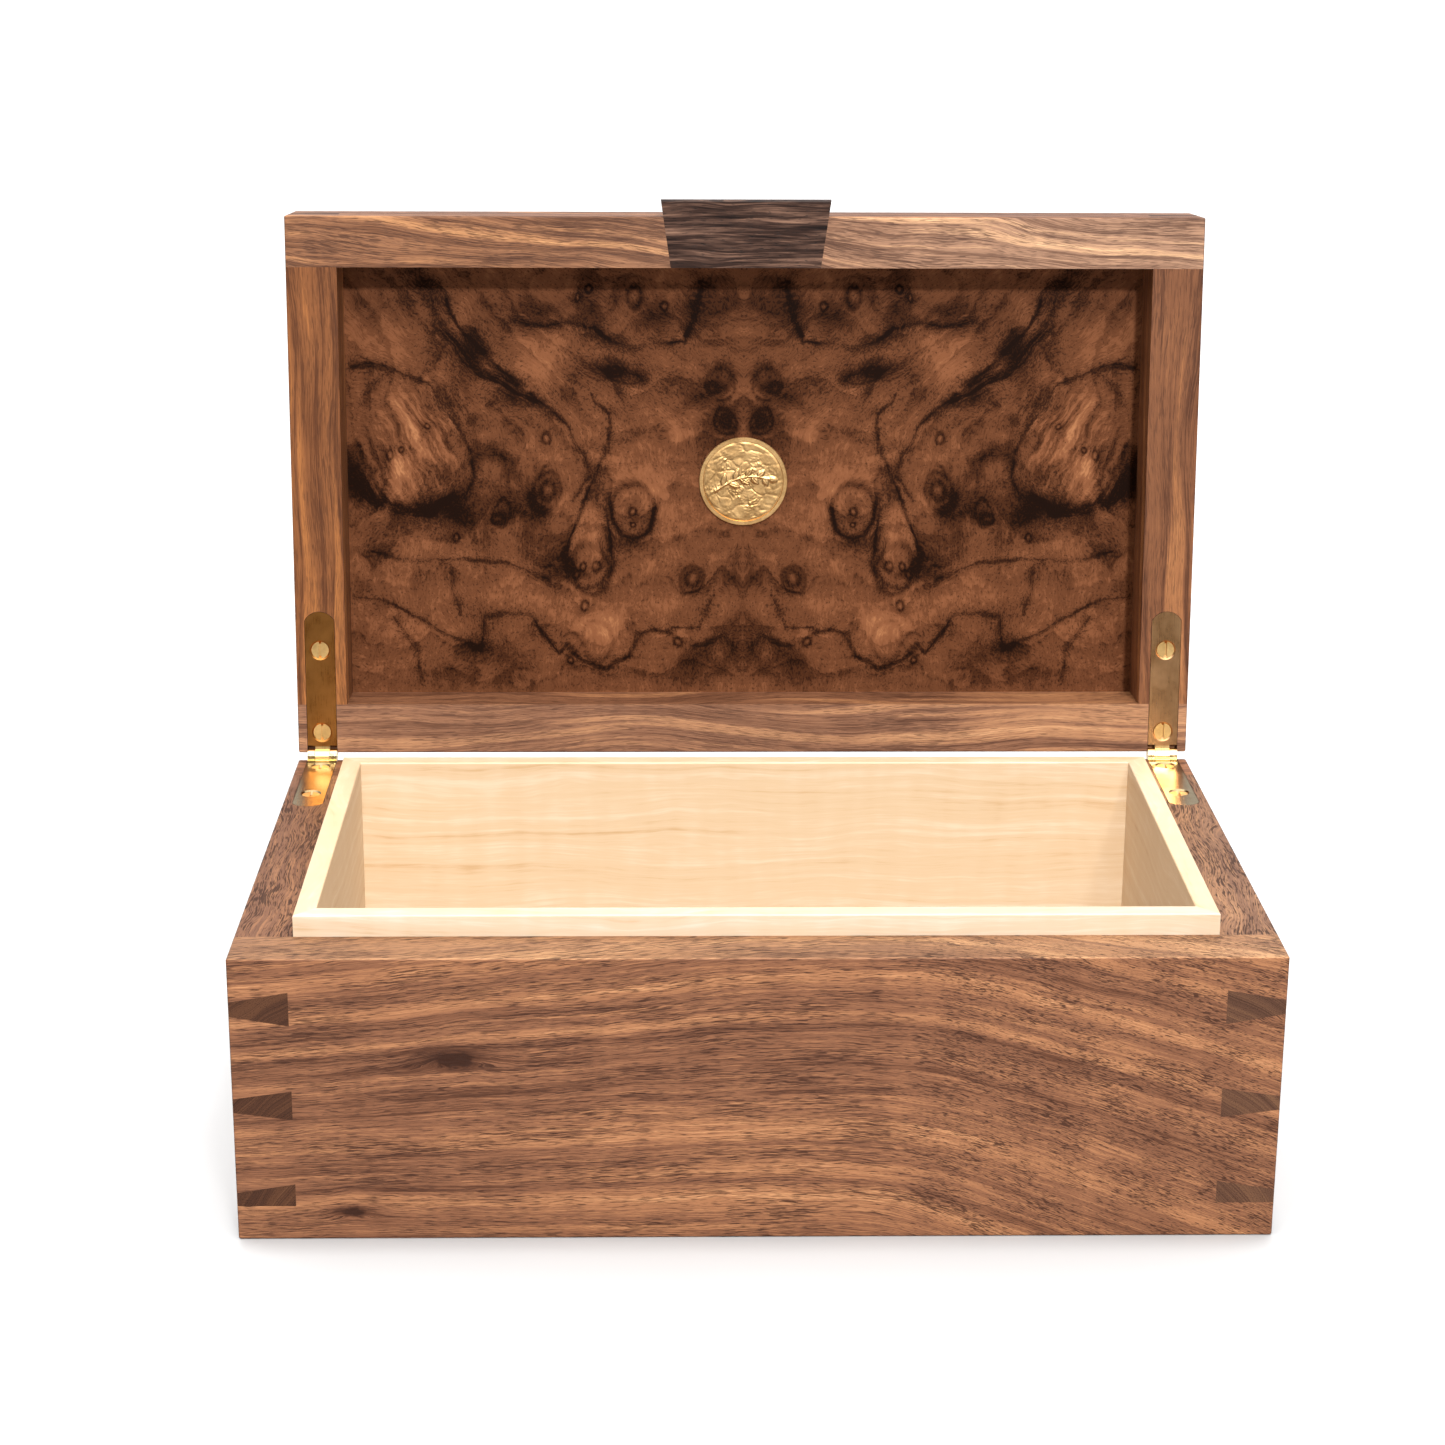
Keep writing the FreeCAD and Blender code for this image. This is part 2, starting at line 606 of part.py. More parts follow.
def leaf_screws(side, name, face, inward, opens):
    """The two slotted countersunk screws of one leaf; inward is the way they point."""
    body = new_body(f"{side}_hinge_{name}_screws", hinge_frame=True, opens=opens,
                    side=HINGE_SIDES[side])
    body.AllowCompound = True
    drawing = sketch(body, "XZ_Plane", "screw_near")
    level = [f"{face} {inward} ({deep})" for deep in
             ("screw_sink - screw_head", "screw_sink - screw_shank", "screw_long - screw_shank",
              "screw_long")]
    corners = [("0", level[0]), ("screw_head", level[0]), ("screw_shank", level[1]),
               ("screw_shank", level[2]), ("0", level[3])]
    outline(drawing, corners if inward == "+" else corners[::-1])
    turned = body.newObject("PartDesign::Revolution", body.Name + "_turned")
    turned.Profile = drawing
    turned.ReferenceAxis = (drawing, ["V_Axis"])
    turned.Angle = 360
    doc.recompute()
    drawing = sketch(body, "XZ_Plane", "screw_near")
    near, far = sorted((level[0], f"{level[0]} {inward} slot_deep"), key=number)
    rectangle(drawing, ("-slot_wide/2", near), ("slot_wide/2", far))
    slot = pocket(body, drawing, "4*screw_head", both_ways=True)
    pair = body.newObject("PartDesign::LinearPattern", body.Name + "_pair")
    pair.Originals = [turned, slot]
    pair.Direction = (datum(body, "Y_Axis"), [""])
    pair.Reversed = True
    pair.setExpression("Length", cells("screw_far - screw_near"))
    pair.Occurrences = 2
    body.Tip = pair
    doc.recompute()
    if len(body.Shape.Solids) != 2:
        raise RuntimeError(f"{body.Name} has {len(body.Shape.Solids)} screws")


def build_hinges():
    for side in HINGE_SIDES:
        case_leaf(side)
        lid_leaf(side)
        hinge_pin(side)
        leaf_screws(side, "case", RIM, "-", opens=False)
        leaf_screws(side, "lid", LID_FACE, "+", opens=True)


build_case()
build_lid()
build_hinges()
doc.recompute()

for item in doc.Objects:
    if "Invalid" in item.State or "Error" in item.State:
        raise RuntimeError(f"{item.Name} is {item.State}")
bodies = [item for item in doc.Objects if item.TypeId == "PartDesign::Body"]
for body in bodies:
    if body.Shape.isNull() or not body.Shape.isValid():
        raise RuntimeError(f"{body.Label} has no valid shape")

os.makedirs("parts", exist_ok=True)
for body in bodies:
    body.Shape.exportStep(f"parts/{body.Label}.step")
print(len(bodies), "sub-parts written")
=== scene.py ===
import json
import math

import bmesh
import bpy
from mathutils import Matrix, Vector, noise

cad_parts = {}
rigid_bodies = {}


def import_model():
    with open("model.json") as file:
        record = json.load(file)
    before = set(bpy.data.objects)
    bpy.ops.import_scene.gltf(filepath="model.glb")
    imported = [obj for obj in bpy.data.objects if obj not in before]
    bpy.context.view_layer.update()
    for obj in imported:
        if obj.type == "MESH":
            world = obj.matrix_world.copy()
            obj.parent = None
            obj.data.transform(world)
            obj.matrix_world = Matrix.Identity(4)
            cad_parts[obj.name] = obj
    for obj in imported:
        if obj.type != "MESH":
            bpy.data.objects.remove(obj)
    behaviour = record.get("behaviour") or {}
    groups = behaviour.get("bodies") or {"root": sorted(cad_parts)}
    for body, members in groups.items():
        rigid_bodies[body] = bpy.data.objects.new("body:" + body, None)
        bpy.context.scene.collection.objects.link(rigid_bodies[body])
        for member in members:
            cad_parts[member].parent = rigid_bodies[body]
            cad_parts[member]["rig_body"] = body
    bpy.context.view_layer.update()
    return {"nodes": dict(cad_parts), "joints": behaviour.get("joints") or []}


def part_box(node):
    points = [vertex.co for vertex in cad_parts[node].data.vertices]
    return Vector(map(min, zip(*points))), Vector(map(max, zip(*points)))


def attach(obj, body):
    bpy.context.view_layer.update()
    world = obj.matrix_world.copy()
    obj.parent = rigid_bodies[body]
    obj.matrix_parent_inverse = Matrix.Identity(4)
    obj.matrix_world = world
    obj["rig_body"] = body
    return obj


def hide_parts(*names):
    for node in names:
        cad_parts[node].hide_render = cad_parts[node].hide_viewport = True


# Looks for the walnut watch box. Blender works in metres in the frame of the CAD model; the
# materials work in millimetres. Every wood is a solid texture that runs through its board, so the
# figure turns the corner at each edge and the dovetail pins show real end grain.

# noise_vector starts from the time of day unless a seed is set.
NOISE_SEED = 3

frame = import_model()
noise.seed_set(NOISE_SEED)

MM = 0.001
PLAIN = (1, 1, 1)                                   # a tint that changes nothing
FLOOR_REACH = 30.0                                  # half the floor's side, in metres
HINGE = next(joint for joint in frame["joints"] if joint["name"] == "lid_hinge")
HINGE_PLACE = Vector(HINGE["pos_m"])
LID_SWING = math.radians(HINGE["range_deg"][1])     # from the open lid at rest to the closed one


# ---------------------------------------------------------------- camera, light and floor

# The camera, fitted to the box's corners: place in metres; yaw to the right, pitch down and roll in
# degrees; focal length and sensor width in millimetres.
CAMERA_PLACE = Vector((-0.0259, -0.8526, 0.3944))
CAMERA_YAW, CAMERA_PITCH, CAMERA_ROLL = 1.156, 17.56, 0.30
FOCAL_LENGTH, SENSOR_WIDTH = 75.16, 36.0


def add_camera():
    """A long lens in front of the box, a little to its left and looking down at it."""
    yaw, pitch, roll = (math.radians(turn) for turn in (CAMERA_YAW, CAMERA_PITCH, CAMERA_ROLL))
    lens = bpy.data.cameras.new("camera")
    lens.lens = FOCAL_LENGTH
    lens.sensor_width = SENSOR_WIDTH
    camera = bpy.data.objects.new("camera", lens)
    camera.matrix_world = (Matrix.Translation(CAMERA_PLACE) @ Matrix.Rotation(-yaw, 4, "Z")
                           @ Matrix.Rotation(math.pi / 2 - pitch, 4, "X")
                           @ Matrix.Rotation(roll, 4, "Z"))
    bpy.context.scene.collection.objects.link(camera)
    bpy.context.scene.camera = camera


def add_sun(name, elevation, azimuth, softness, irradiance):
    """A sun lamp, its angles in degrees; azimuth runs from in front of the box to its right."""
    lamp = bpy.data.lights.new(name, "SUN")
    lamp.angle = math.radians(softness)
    lamp.energy = irradiance * math.pi
    sun = bpy.data.objects.new(name, lamp)
    up, side = math.radians(elevation), math.radians(azimuth)
    towards = Vector((math.sin(side) * math.cos(up), -math.cos(side) * math.cos(up), math.sin(up)))
    sun.matrix_world = towards.to_track_quat("Z", "Y").to_matrix().to_4x4()
    bpy.context.scene.collection.objects.link(sun)
    return sun


def light_only(lamp, role, pieces, state):
    """Includes or excludes pieces from what a lamp lights or what stops its light."""
    group = bpy.data.collections.new(lamp.name + "_" + role)
    for piece in pieces:
        group.objects.link(piece)
    setattr(lamp.light_linking, role, group)
    for link in group.collection_objects:
        link.light_linking.link_state = state


# ---------------------------------------------------------------- shader nodes

class Wire:
    """One output of a shader node. Arithmetic on a wire adds Math nodes to the same tree."""

    def __init__(self, tree, socket):
        self.tree = tree
        self.socket = socket

    def math(self, operation, *others):
        return math_node(self.tree, operation, self, *others)

    def __add__(self, other):
        return self.math("ADD", other)

    def __sub__(self, other):
        return self.math("SUBTRACT", other)

    def __rsub__(self, other):
        return math_node(self.tree, "SUBTRACT", other, self)

    def __mul__(self, other):
        return self.math("MULTIPLY", other)

    def __truediv__(self, other):
        return self.math("DIVIDE", other)

    __radd__ = __add__
    __rmul__ = __mul__


def plug(tree, socket, value):
    """Joins a wire to an input socket, or sets the socket's own value."""
    if isinstance(value, Wire):
        tree.links.new(value.socket, socket)
    elif isinstance(value, tuple) and len(value) == 3 and socket.type == "RGBA":
        socket.default_value = (*value, 1)
    else:
        socket.default_value = value


def add_node(tree, kind, inputs, output=0, **settings):
    """A node with its settings and inputs; gives one of its outputs as a wire."""
    node = tree.nodes.new("ShaderNode" + kind)
    for name, value in settings.items():
        setattr(node, name, value)
    for name, value in inputs.items():
        plug(tree, node.inputs[name], value)
    return Wire(tree, node.outputs[output])


def math_node(tree, operation, *values):
    """A Math node from wires and plain numbers."""
    return add_node(tree, "Math", dict(enumerate(values)), operation=operation)


def vector(x, y, z):
    """A vector from three numbers, of which at least one is a wire."""
    tree = next(part.tree for part in (x, y, z) if isinstance(part, Wire))
    return add_node(tree, "CombineXYZ", {"X": x, "Y": y, "Z": z})


def split(wire):
    """The three numbers of a vector."""
    return [add_node(wire.tree, "SeparateXYZ", {"Vector": wire}, axis) for axis in "XYZ"]


def vector_math(operation, wire, *others, output="Vector"):
    """A Vector Math node; output "Value" is for lengths, distances and dot products."""
    inputs = dict(enumerate((wire, *others)))
    return add_node(wire.tree, "VectorMath", inputs, output, operation=operation)


def grain(place, scale=1.0, detail=2.0, rough=0.5):
    """Noise about 0, mostly within a half each way."""
    inputs = {"Vector": place, "Scale": scale, "Detail": detail, "Roughness": rough}
    return add_node(place.tree, "TexNoise", inputs, "Fac", noise_dimensions="3D") - 0.5


def wander(place, scale, amount, detail=1.0):
    """A vector moved about by noise."""
    inputs = {"Vector": place, "Scale": scale, "Detail": detail}
    drift = add_node(place.tree, "TexNoise", inputs, "Color", noise_dimensions="3D")
    drift = vector_math("SUBTRACT", drift, (0.5, 0.5, 0.5))
    return vector_math("MULTIPLY_ADD", drift, (amount, amount, amount), place)


def rise(value, low, high):
    """0 below low, 1 above high, and smooth between; low may be the larger."""
    inputs = {"Value": value, "From Min": low, "From Max": high}
    if low > high:
        inputs = {"Value": value, "From Min": high, "From Max": low, "To Min": 1.0, "To Max": 0.0}
    return add_node(value.tree, "MapRange", inputs, interpolation_type="SMOOTHSTEP")


def gauss(value):
    """exp(-value squared)."""
    return (-1 * value * value).math("EXPONENT")


def blend(factor, first, second):
    """A colour between two, each a wire or three numbers."""
    # the Mix node has one set of sockets for each data type; 6, 7 and output 2 are the colours
    return add_node(factor.tree, "Mix", {0: factor, 6: first, 7: second}, 2, data_type="RGBA")


def scaled(wire, factor):
    """A colour or a vector multiplied by a number."""
    return add_node(wire.tree, "VectorMath", {0: wire, "Scale": factor}, operation="SCALE")


def ramp(value, stops):
    """A smooth colour ramp; stops are (position, colour)."""
    node = value.tree.nodes.new("ShaderNodeValToRGB")
    scale = node.color_ramp
    scale.interpolation = "EASE"
    while len(scale.elements) < len(stops):
        scale.elements.new(0.5)
    for element, (position, colour) in zip(scale.elements, stops):
        element.position = position
        element.color = (*colour, 1)
    plug(value.tree, node.inputs[0], value)
    return Wire(value.tree, node.outputs[0])


# The light tent's strength all round, and what it gains behind the box and above it.
TENT_ALL_ROUND, TENT_BEHIND, TENT_ABOVE = 0.12, 0.7, 2.9


def studio_world():
    """A light tent: dim in front of the box, bright behind and above it, white to the camera."""
    world = bpy.data.worlds.new("studio")
    world.use_nodes = True
    tree = world.node_tree
    tree.nodes.clear()
    direction = add_node(tree, "TexCoord", {}, "Generated")
    _, back, up = split(direction)
    strength = TENT_ALL_ROUND + TENT_BEHIND * rise(back, 0.0, 0.7)
    strength = strength + TENT_ABOVE * rise(up, 0.45, 0.95)
    seen = add_node(tree, "LightPath", {}, "Is Camera Ray")
    strength = strength * (1 - seen) + seen
    light = add_node(tree, "Background", {"Color": (1.0, 1.0, 1.0), "Strength": strength})
    out = tree.nodes.new("ShaderNodeOutputWorld")
    tree.links.new(light.socket, out.inputs["Surface"])
    bpy.context.scene.world = world


# ---------------------------------------------------------------- materials

def new_material(name):
    """A material with an empty node tree."""
    material = bpy.data.materials.new(name)
    material.use_nodes = True
    material.node_tree.nodes.clear()
    return material


def finish_material(material, colour, roughness, bump=None, depth=0.0, **fixed):
    """The shader at the end: colour and roughness are wires, the rest are fixed numbers."""
    tree = material.node_tree
    shader = tree.nodes.new("ShaderNodeBsdfPrincipled")
    plug(tree, shader.inputs["Base Color"], colour)
    plug(tree, shader.inputs["Roughness"], roughness)
    for name, value in fixed.items():
        shader.inputs[name.replace("_", " ")].default_value = value
    if bump is not None:
        normal = add_node(tree, "Bump", {"Height": bump, "Distance": depth * MM, "Strength": 1.0})
        plug(tree, shader.inputs["Normal"], normal)
    out = tree.nodes.new("ShaderNodeOutputMaterial")
    tree.links.new(shader.outputs[0], out.inputs["Surface"])
    return material


def piece_place(tree, on_lid):
    """Millimetres and the surface normal; on the lid both are turned back to the closed lid."""
    place = add_node(tree, "TexCoord", {}, "Object")
    normal = add_node(tree, "TexCoord", {}, "Normal")
    if on_lid:
        turn = {"Center": (0, 0, 0), "Angle": LID_SWING}
        place = vector_math("SUBTRACT", place, tuple(HINGE_PLACE))
        place = add_node(tree, "VectorRotate", {"Vector": place, **turn}, rotation_type="X_AXIS")
        normal = add_node(tree, "VectorRotate", {"Vector": normal, **turn}, rotation_type="X_AXIS")
    return vector_math("MULTIPLY", place, (1 / MM, 1 / MM, 1 / MM)), normal


def centre_of(node):
    """A node's centre in millimetres, in the frame that piece_place gives."""
    low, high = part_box(node)
    middle = (low + high) / 2
    if node.startswith("lid") or "veneer" in node or node == "medallion":
        middle = Matrix.Rotation(LID_SWING, 3, "X") @ (middle - HINGE_PLACE)
    return middle / MM


def board_place(tree, node, lengthwise):
    """A board's own coordinates in mm, along the grain, across it and through, and two masks.

    The masks are 1 on its end faces and 1 on the face that looks down when the lid is closed.
    """
    on_lid = frame["nodes"][node]["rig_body"] == "lid"
    place, normal = piece_place(tree, on_lid)
    x, y, z = split(vector_math("SUBTRACT", place, tuple(centre_of(node))))
    facing = split(normal)
    end = facing[0 if lengthwise == "X" else 1].math("ABSOLUTE")
    along, across = (x, y) if lengthwise == "X" else (y, x)
    return along, across, z, rise(end, 0.6, 0.9), rise(-1 * facing[2], 0.6, 0.9)


# Walnut from its darkest tone to its palest, the colour of a pore, and how end grain darkens it.
WALNUT = [(0.06, (0.036, 0.0120, 0.0058)), (0.30, (0.098, 0.0360, 0.0170)),
          (0.50, (0.205, 0.0830, 0.0400)), (0.70, (0.330, 0.1400, 0.0610)),
          (0.94, (0.520, 0.2450, 0.1080))]
PORE = (0.042, 0.0140, 0.0070)
END_GRAIN = (0.38, 0.38, 0.38)


def walnut_figure(rings, along, seed, contrast=1.0, fine=1.0):
    """Tone of long grain: growth bands with dark edges, streaks and fibres along the rings.

    rings counts millimetres across the growth layers, and along runs with the grain.
    """
    bands = grain(vector(rings / 6.0, along / 260, seed), 1.0, 2.0, 0.6)
    edges = gauss(bands * 16) * 0.10
    lines = grain(vector(rings / 1.4, along / 130, seed + 3.7), 1.0, 3.0, 0.7)
    fibres = grain(vector(rings / 0.30, along / 22, seed + 8.1), 1.0, 2.0, 0.7)
    curl = grain(vector(rings / 40, along / 9, seed + 1.9), 1.0, 1.0)
    streaks = 0.62 * lines + 0.74 * fibres
    return 0.60 + contrast * (0.36 * bands - edges) + fine * streaks + 0.14 * curl


def walnut_pores(rings, along, across, through, end, seed):
    """Dark dashes along the grain, dots on end grain; 0 to 1."""
    crowd = grain(vector(rings / 5.0, along / 30, seed + 6.6), 1.0, 1.0)
    coarse = grain(vector(rings / 0.22, along / 5.0, seed + 5.3), 1.0, 1.0)
    fine = grain(vector(rings / 0.14, along / 3.2, seed + 2.2), 1.0, 1.0)
    dashes = rise(coarse + 0.35 * crowd, 0.05, 0.15) + 0.6 * rise(fine + 0.25 * crowd, 0.05, 0.15)
    dots = rise(grain(vector(across / 0.32, through / 0.32, seed), 1.0, 1.0), 0.06, 0.16)
    return (dashes * (1 - end) + 0.6 * dots * end).math("MINIMUM", 1.0)


def walnut_finish(material, tone, pores, end, tint, end_tint):
    """Colour from the tone, with dark pores, multiplied by a tint for long or end grain."""
    colour = ramp(tone, WALNUT)
    colour = blend(0.88 * pores, colour, PORE)
    colour = vector_math("MULTIPLY", colour, blend(end, tint, end_tint))
    roughness = 0.44 + 0.16 * pores + 0.12 * end
    return finish_material(material, colour, roughness, bump=-1 * pores, depth=0.03,
                           Specular_IOR_Level=0.20)


def walnut_board(node, lengthwise, seed, heart, lift=0.0, sway=5.0, contrast=1.0, fine=1.0,
                 tint=PLAIN, inner_tints_and_sheen=None, end_tint=END_GRAIN):
    """Walnut whose growth rings are round a heart line, given across and through the board.

    The board's colour is multiplied by a tint. inner_tints_and_sheen are the colours at both ends
    of a lid rail's inner face: partly the wood's colour, partly a painted sheen where light falls
    on that face. end_tint is the colour of the end grain.
    """
    material = new_material("walnut_" + node)
    tree = material.node_tree
    along, across, through, end, down = board_place(tree, node, lengthwise)
    drift = 26.0 * grain(vector(along / 120, across / 60, seed), 1.0, 1.0)
    waver = sway * grain(vector(along / 32, across / 16, seed + 2.0), 1.0, 1.0)
    from_heart = vector(across - heart[0] + drift, through - heart[1], 0.0)
    rings = vector_math("LENGTH", from_heart, output="Value") + waver + lift * along
    tone = walnut_figure(rings, along, seed, contrast, fine)
    pores = fine ** 2 * walnut_pores(rings, along, across, through, end, seed)
    # the inner face of a lid rail takes its own tints, partly a painted sheen
    if inner_tints_and_sheen:
        tint = blend(down, tint, blend(rise(along, -90.0, 110.0), *inner_tints_and_sheen))
    return walnut_finish(material, tone, pores, end, tint, end_tint)


# Growth bands of the front board: height of the band at the middle of the board, its half-width
# in mm, and how much lighter or darker it is than the wood beside it.
FRONT_BANDS = [(74.0, 2.0, 0.24), (62.5, 1.2, 0.18), (59.3, 1.4, -0.12), (81.5, 2.2, -0.12),
               (69.0, 2.2, -0.08), (49.0, 7.0, -0.08), (39.0, 3.0, -0.06), (29.0, 2.6, 0.14),
               (22.0, 3.0, -0.06), (12.5, 1.1, -0.16), (7.5, 2.6, 0.18)]
# Knots of the front board: from the middle, above the table, half-length, half-height, push.
FRONT_KNOTS = [(-84.0, 53.0, 12.0, 8.0, 4.4), (-113.5, 7.0, 9.0, 5.0, 2.6)]
# Dark spots in and round the knots: from the middle, above the table, half-length, half-height,
# darkness.
FRONT_SPOTS = [(-84.0, 55.5, 10.0, 2.8, 0.34), (-86.2, 54.4, 1.7, 1.4, 0.50),
               (-81.6, 54.6, 1.7, 1.4, 0.50), (-84.0, 52.6, 5.0, 2.4, 0.20),
               (-113.5, 8.6, 6.0, 2.0, 0.34), (-113.0, 8.2, 2.1, 1.2, 0.50)]
# Broad paler or darker areas of the front board, in the same order.
FRONT_CLOUDS = [(8.0, 20.0, 46.0, 17.0, 0.12), (-95.0, 35.0, 40.0, 34.0, -0.06)]


def front_board_walnut():
    """The show face: level grain at the left that crests near the middle and falls to the right."""
    material = new_material("walnut_front_board")
    tree = material.node_tree
    place, normal = piece_place(tree, False)
    x, y, z = split(place)
    end = rise(split(normal)[0].math("ABSOLUTE"), 0.6, 0.9)
    depth = y - centre_of("front_board").y
    height = z + 2.6 * grain(vector(x / 55, z / 22, depth / 20), 1.0, 1.0)
    height = height + 0.9 * grain(vector(x / 14, z / 6, depth / 8), 1.0, 1.0)
    height = height + 0.55 * grain(vector(x / 4.5, z / 2.0, depth / 4), 1.0, 1.0)
    # the layers bend round each knot, more above it than below
    for middle, level, length, reach, push in FRONT_KNOTS:
        above = z - level
        fade = (-1 * above.math("ABSOLUTE") / reach).math("EXPONENT")
        side = 0.62 + 0.38 * (above / 1.2).math("TANH")
        height = height - push * gauss((x - middle) / length) * fade * side
    # the layers fall away to the right of the crest and draw together to the left of the middle
    fall = (x - 35 - 0.2 * z).math("SMOOTH_MAX", 0.0, 30.0)
    climb = (0 - x).math("SMOOTH_MAX", 0.0, 20.0)
    rings = height * (1 + 0.0015 * climb) + fall * (0.34 - 0.0012 * z) + 0.6 * depth
    tone = walnut_figure(rings, x, 4.0, contrast=0.86)
    for level, width, strength in FRONT_BANDS:
        tone = tone + strength * gauss((rings - level) / width)
    spotted = wander(vector(x, z, 0.0), 0.6, 1.2)
    for middle, level, length, tall, strength in FRONT_SPOTS:
        away = vector_math("SUBTRACT", spotted, (middle, level, 0))
        away = vector_math("MULTIPLY", away, (1 / length, 1 / tall, 0))
        tone = tone - strength * gauss(vector_math("LENGTH", away, output="Value"))
    for middle, level, length, tall, strength in FRONT_CLOUDS:
        away = vector_math("MULTIPLY", vector(x - middle, z - level, 0.0), (1 / length, 1 / tall, 0))
        tone = tone + strength * gauss(vector_math("LENGTH", away, output="Value"))
    # the top face is painted paler and greyer as a painted sheen, and the edge between it and the
    # show face gets a painted highlight
    top = rise(split(normal)[2], 0.5, 0.9)
    painted_arris_highlight = rise(z, 83.9, 84.4) * rise(depth, -7.7, -8.1)
    tone = tone + 0.12 * top + 0.22 * painted_arris_highlight
    # the pores get shorter towards the right, where the grain runs out of the face
    steps = x + 1.3 * (x - 45).math("SMOOTH_MAX", 0.0, 20.0)
    pores = walnut_pores(rings, steps, z, depth, end, 4.0)
    # painted sheen: the top face is tinted paler and greyer than the show face
    tint = blend(top, (1.02, 1.04, 1.07), (0.93, 1.06, 1.14))
    return walnut_finish(material, tone, pores, end, tint, END_GRAIN)


def rosewood():
    """The finger pull: dark, with fine streaks along the front rail."""
    material = new_material("rosewood")
    tree = material.node_tree
    along, across, through, _, _ = board_place(tree, "lid_pull", "X")
    sway = 3.0 * grain(vector(along / 30, across / 9, through / 9), 1.0, 1.0)
    rings = across * 0.8 + through * 0.6 + sway
    lines = grain(vector(rings / 1.3, along / 40, 3.0), 1.0, 3.0, 0.6)
    fibres = grain(vector(rings / 0.4, along / 10, 5.0), 1.0, 2.0, 0.6)
    tone = 0.46 + 1.6 * lines + 0.8 * fibres
    colour = ramp(tone, [(0.12, (0.008, 0.0035, 0.0025)), (0.38, (0.030, 0.0140, 0.0095)),
                         (0.55, (0.072, 0.0370, 0.0250)), (0.72, (0.150, 0.0800, 0.0530)),
                         (0.94, (0.270, 0.1500, 0.0960))])
    pores = rise(grain(vector(rings / 0.28, along / 3.0, 9.0), 1.0, 1.0), 0.13, 0.20)
    colour = scaled(colour, 1 - 0.6 * pores)
    roughness = 0.36 + 0.15 * pores
    return finish_material(material, colour, roughness, bump=-1 * pores, depth=0.03,
                           Specular_IOR_Level=0.15)


def maple(node, lengthwise, seed, tint=PLAIN):
    """Pale liner wood: soft wavy lines, short rays and a few brown flecks."""
    material = new_material("maple_" + node)
    tree = material.node_tree
    along, across, through, end, _ = board_place(tree, node, lengthwise)
    up = through if node != "bottom_panel" else across
    sway = 16.0 * grain(vector(along / 80, up / 40, seed), 1.0, 1.0)
    sway = sway + 2.0 * grain(vector(along / 16, up / 9, seed), 1.0, 1.0)
    rings = up + 0.4 * across + sway
    lines = grain(vector(rings / 3.0, along / 200, seed), 1.0, 2.0, 0.55)
    fibres = grain(vector(rings / 0.5, along / 12, seed + 4.0), 1.0, 2.0, 0.6)
    curl = grain(vector(rings / 18, along / 7, seed + 2.0), 1.0, 1.0)
    tone = 0.55 + 1.00 * lines + 0.50 * fibres + 0.26 * curl
    colour = ramp(tone, [(0.15, (0.60, 0.380, 0.190)), (0.50, (0.710, 0.520, 0.325)),
                         (0.85, (0.780, 0.620, 0.440))])
    colour = vector_math("MULTIPLY", colour, tint)
    spots = add_node(tree, "TexVoronoi", {"Vector": vector(along / 62, up / 24, seed), "Scale": 1.0},
                     "Distance")
    fleck = rise(spots + 0.10 * fibres, 0.055, 0.025)
    colour = blend(0.75 * fleck, colour, (0.33, 0.15, 0.060))
    colour = scaled(colour, 1 - 0.15 * end)
    roughness = 0.42 + 0.06 * fibres
    return finish_material(material, colour, roughness, bump=fibres, depth=0.02)


# Burl figure in mm, drawn for one leaf and mirrored at the joint. Places are (distance from the
# joint, height above the panel's middle).
# Buds that push the growth layers up: place, half-width, half-height, tilt in degrees, push.
BURL_BUDS = [
    ((108, 12), 21, 27, 20, 26), ((64, -3.5), 5.6, 7, -10, 9), ((80, -12), 3, 6, 0, 7),
    ((92, -11), 4.2, 5, 0, -7), ((37, -9), 7.6, 10, 0, 12), ((52, -27), 7.8, 9, 0, 10),
    ((52, -41), 3.4, 3.4, 0, 6), ((50, -54), 6, 6, 0, 5), ((17, -32), 5.6, 7, 0, 9),
    ((6, 20), 4.4, 5, 0, 8), ((10, 31), 4.4, 5, 0, 8), ((58, 56), 18, 11, 0, 13),
    ((30, 56), 12, 12, 0, -11), ((86, -52), 12, 11, 30, 10), ((118, -50), 14, 10, -20, 9),
]
# Eyes: place and radius.
BURL_EYES = [
    ((64.2, 14), 1.2), ((64, -3.2), 2.6), ((80.2, -12.4), 1.5), ((92.5, -11.4), 1.5),
    ((94.6, -18.7), 1.1), ((36.4, -9.6), 1.0), ((36.2, -14), 0.7), ((55.2, -31), 1.3),
    ((52.7, -28.2), 1.2), ((47.4, -28.7), 1.4), ((52.2, -40.9), 1.3), ((16.8, -32.4), 2.0),
    ((5.8, 20), 1.5), ((9.9, 31), 1.7), ((115.6, 9.6), 1.1), ((111.5, 11.4), 0.8),
    ((103.9, 17.8), 0.8), ((54.3, 59.8), 0.9), ((50.6, 62), 1.0), ((26.4, 57.5), 1.0),
    ((35, 60), 2.2), ((57, -60), 1.0), ((21.6, -54.5), 1.2),
]
# Ovals with a dark outline: place, half-width, half-height, tilt in degrees, darkness.
BURL_OVALS = [
    ((36.4, -9.6), 6.4, 8.8, 0, 0.30), ((50, -29), 6.6, 8.0, -12, 0.22),
    ((64, -3.4), 4.6, 6.2, 8, 0.16), ((17, -33), 3.6, 4.6, 0, 0.20), ((8, 32), 5.0, 5.4, 0, 0.16),
    ((6, 20), 3.8, 4.2, 0, 0.18), ((48, -53), 5.0, 6.5, 0, 0.16), ((57, -54), 3.4, 4.0, 0, 0.12),
    ((79.4, -11), 2.4, 4.6, 6, 0.20),
]
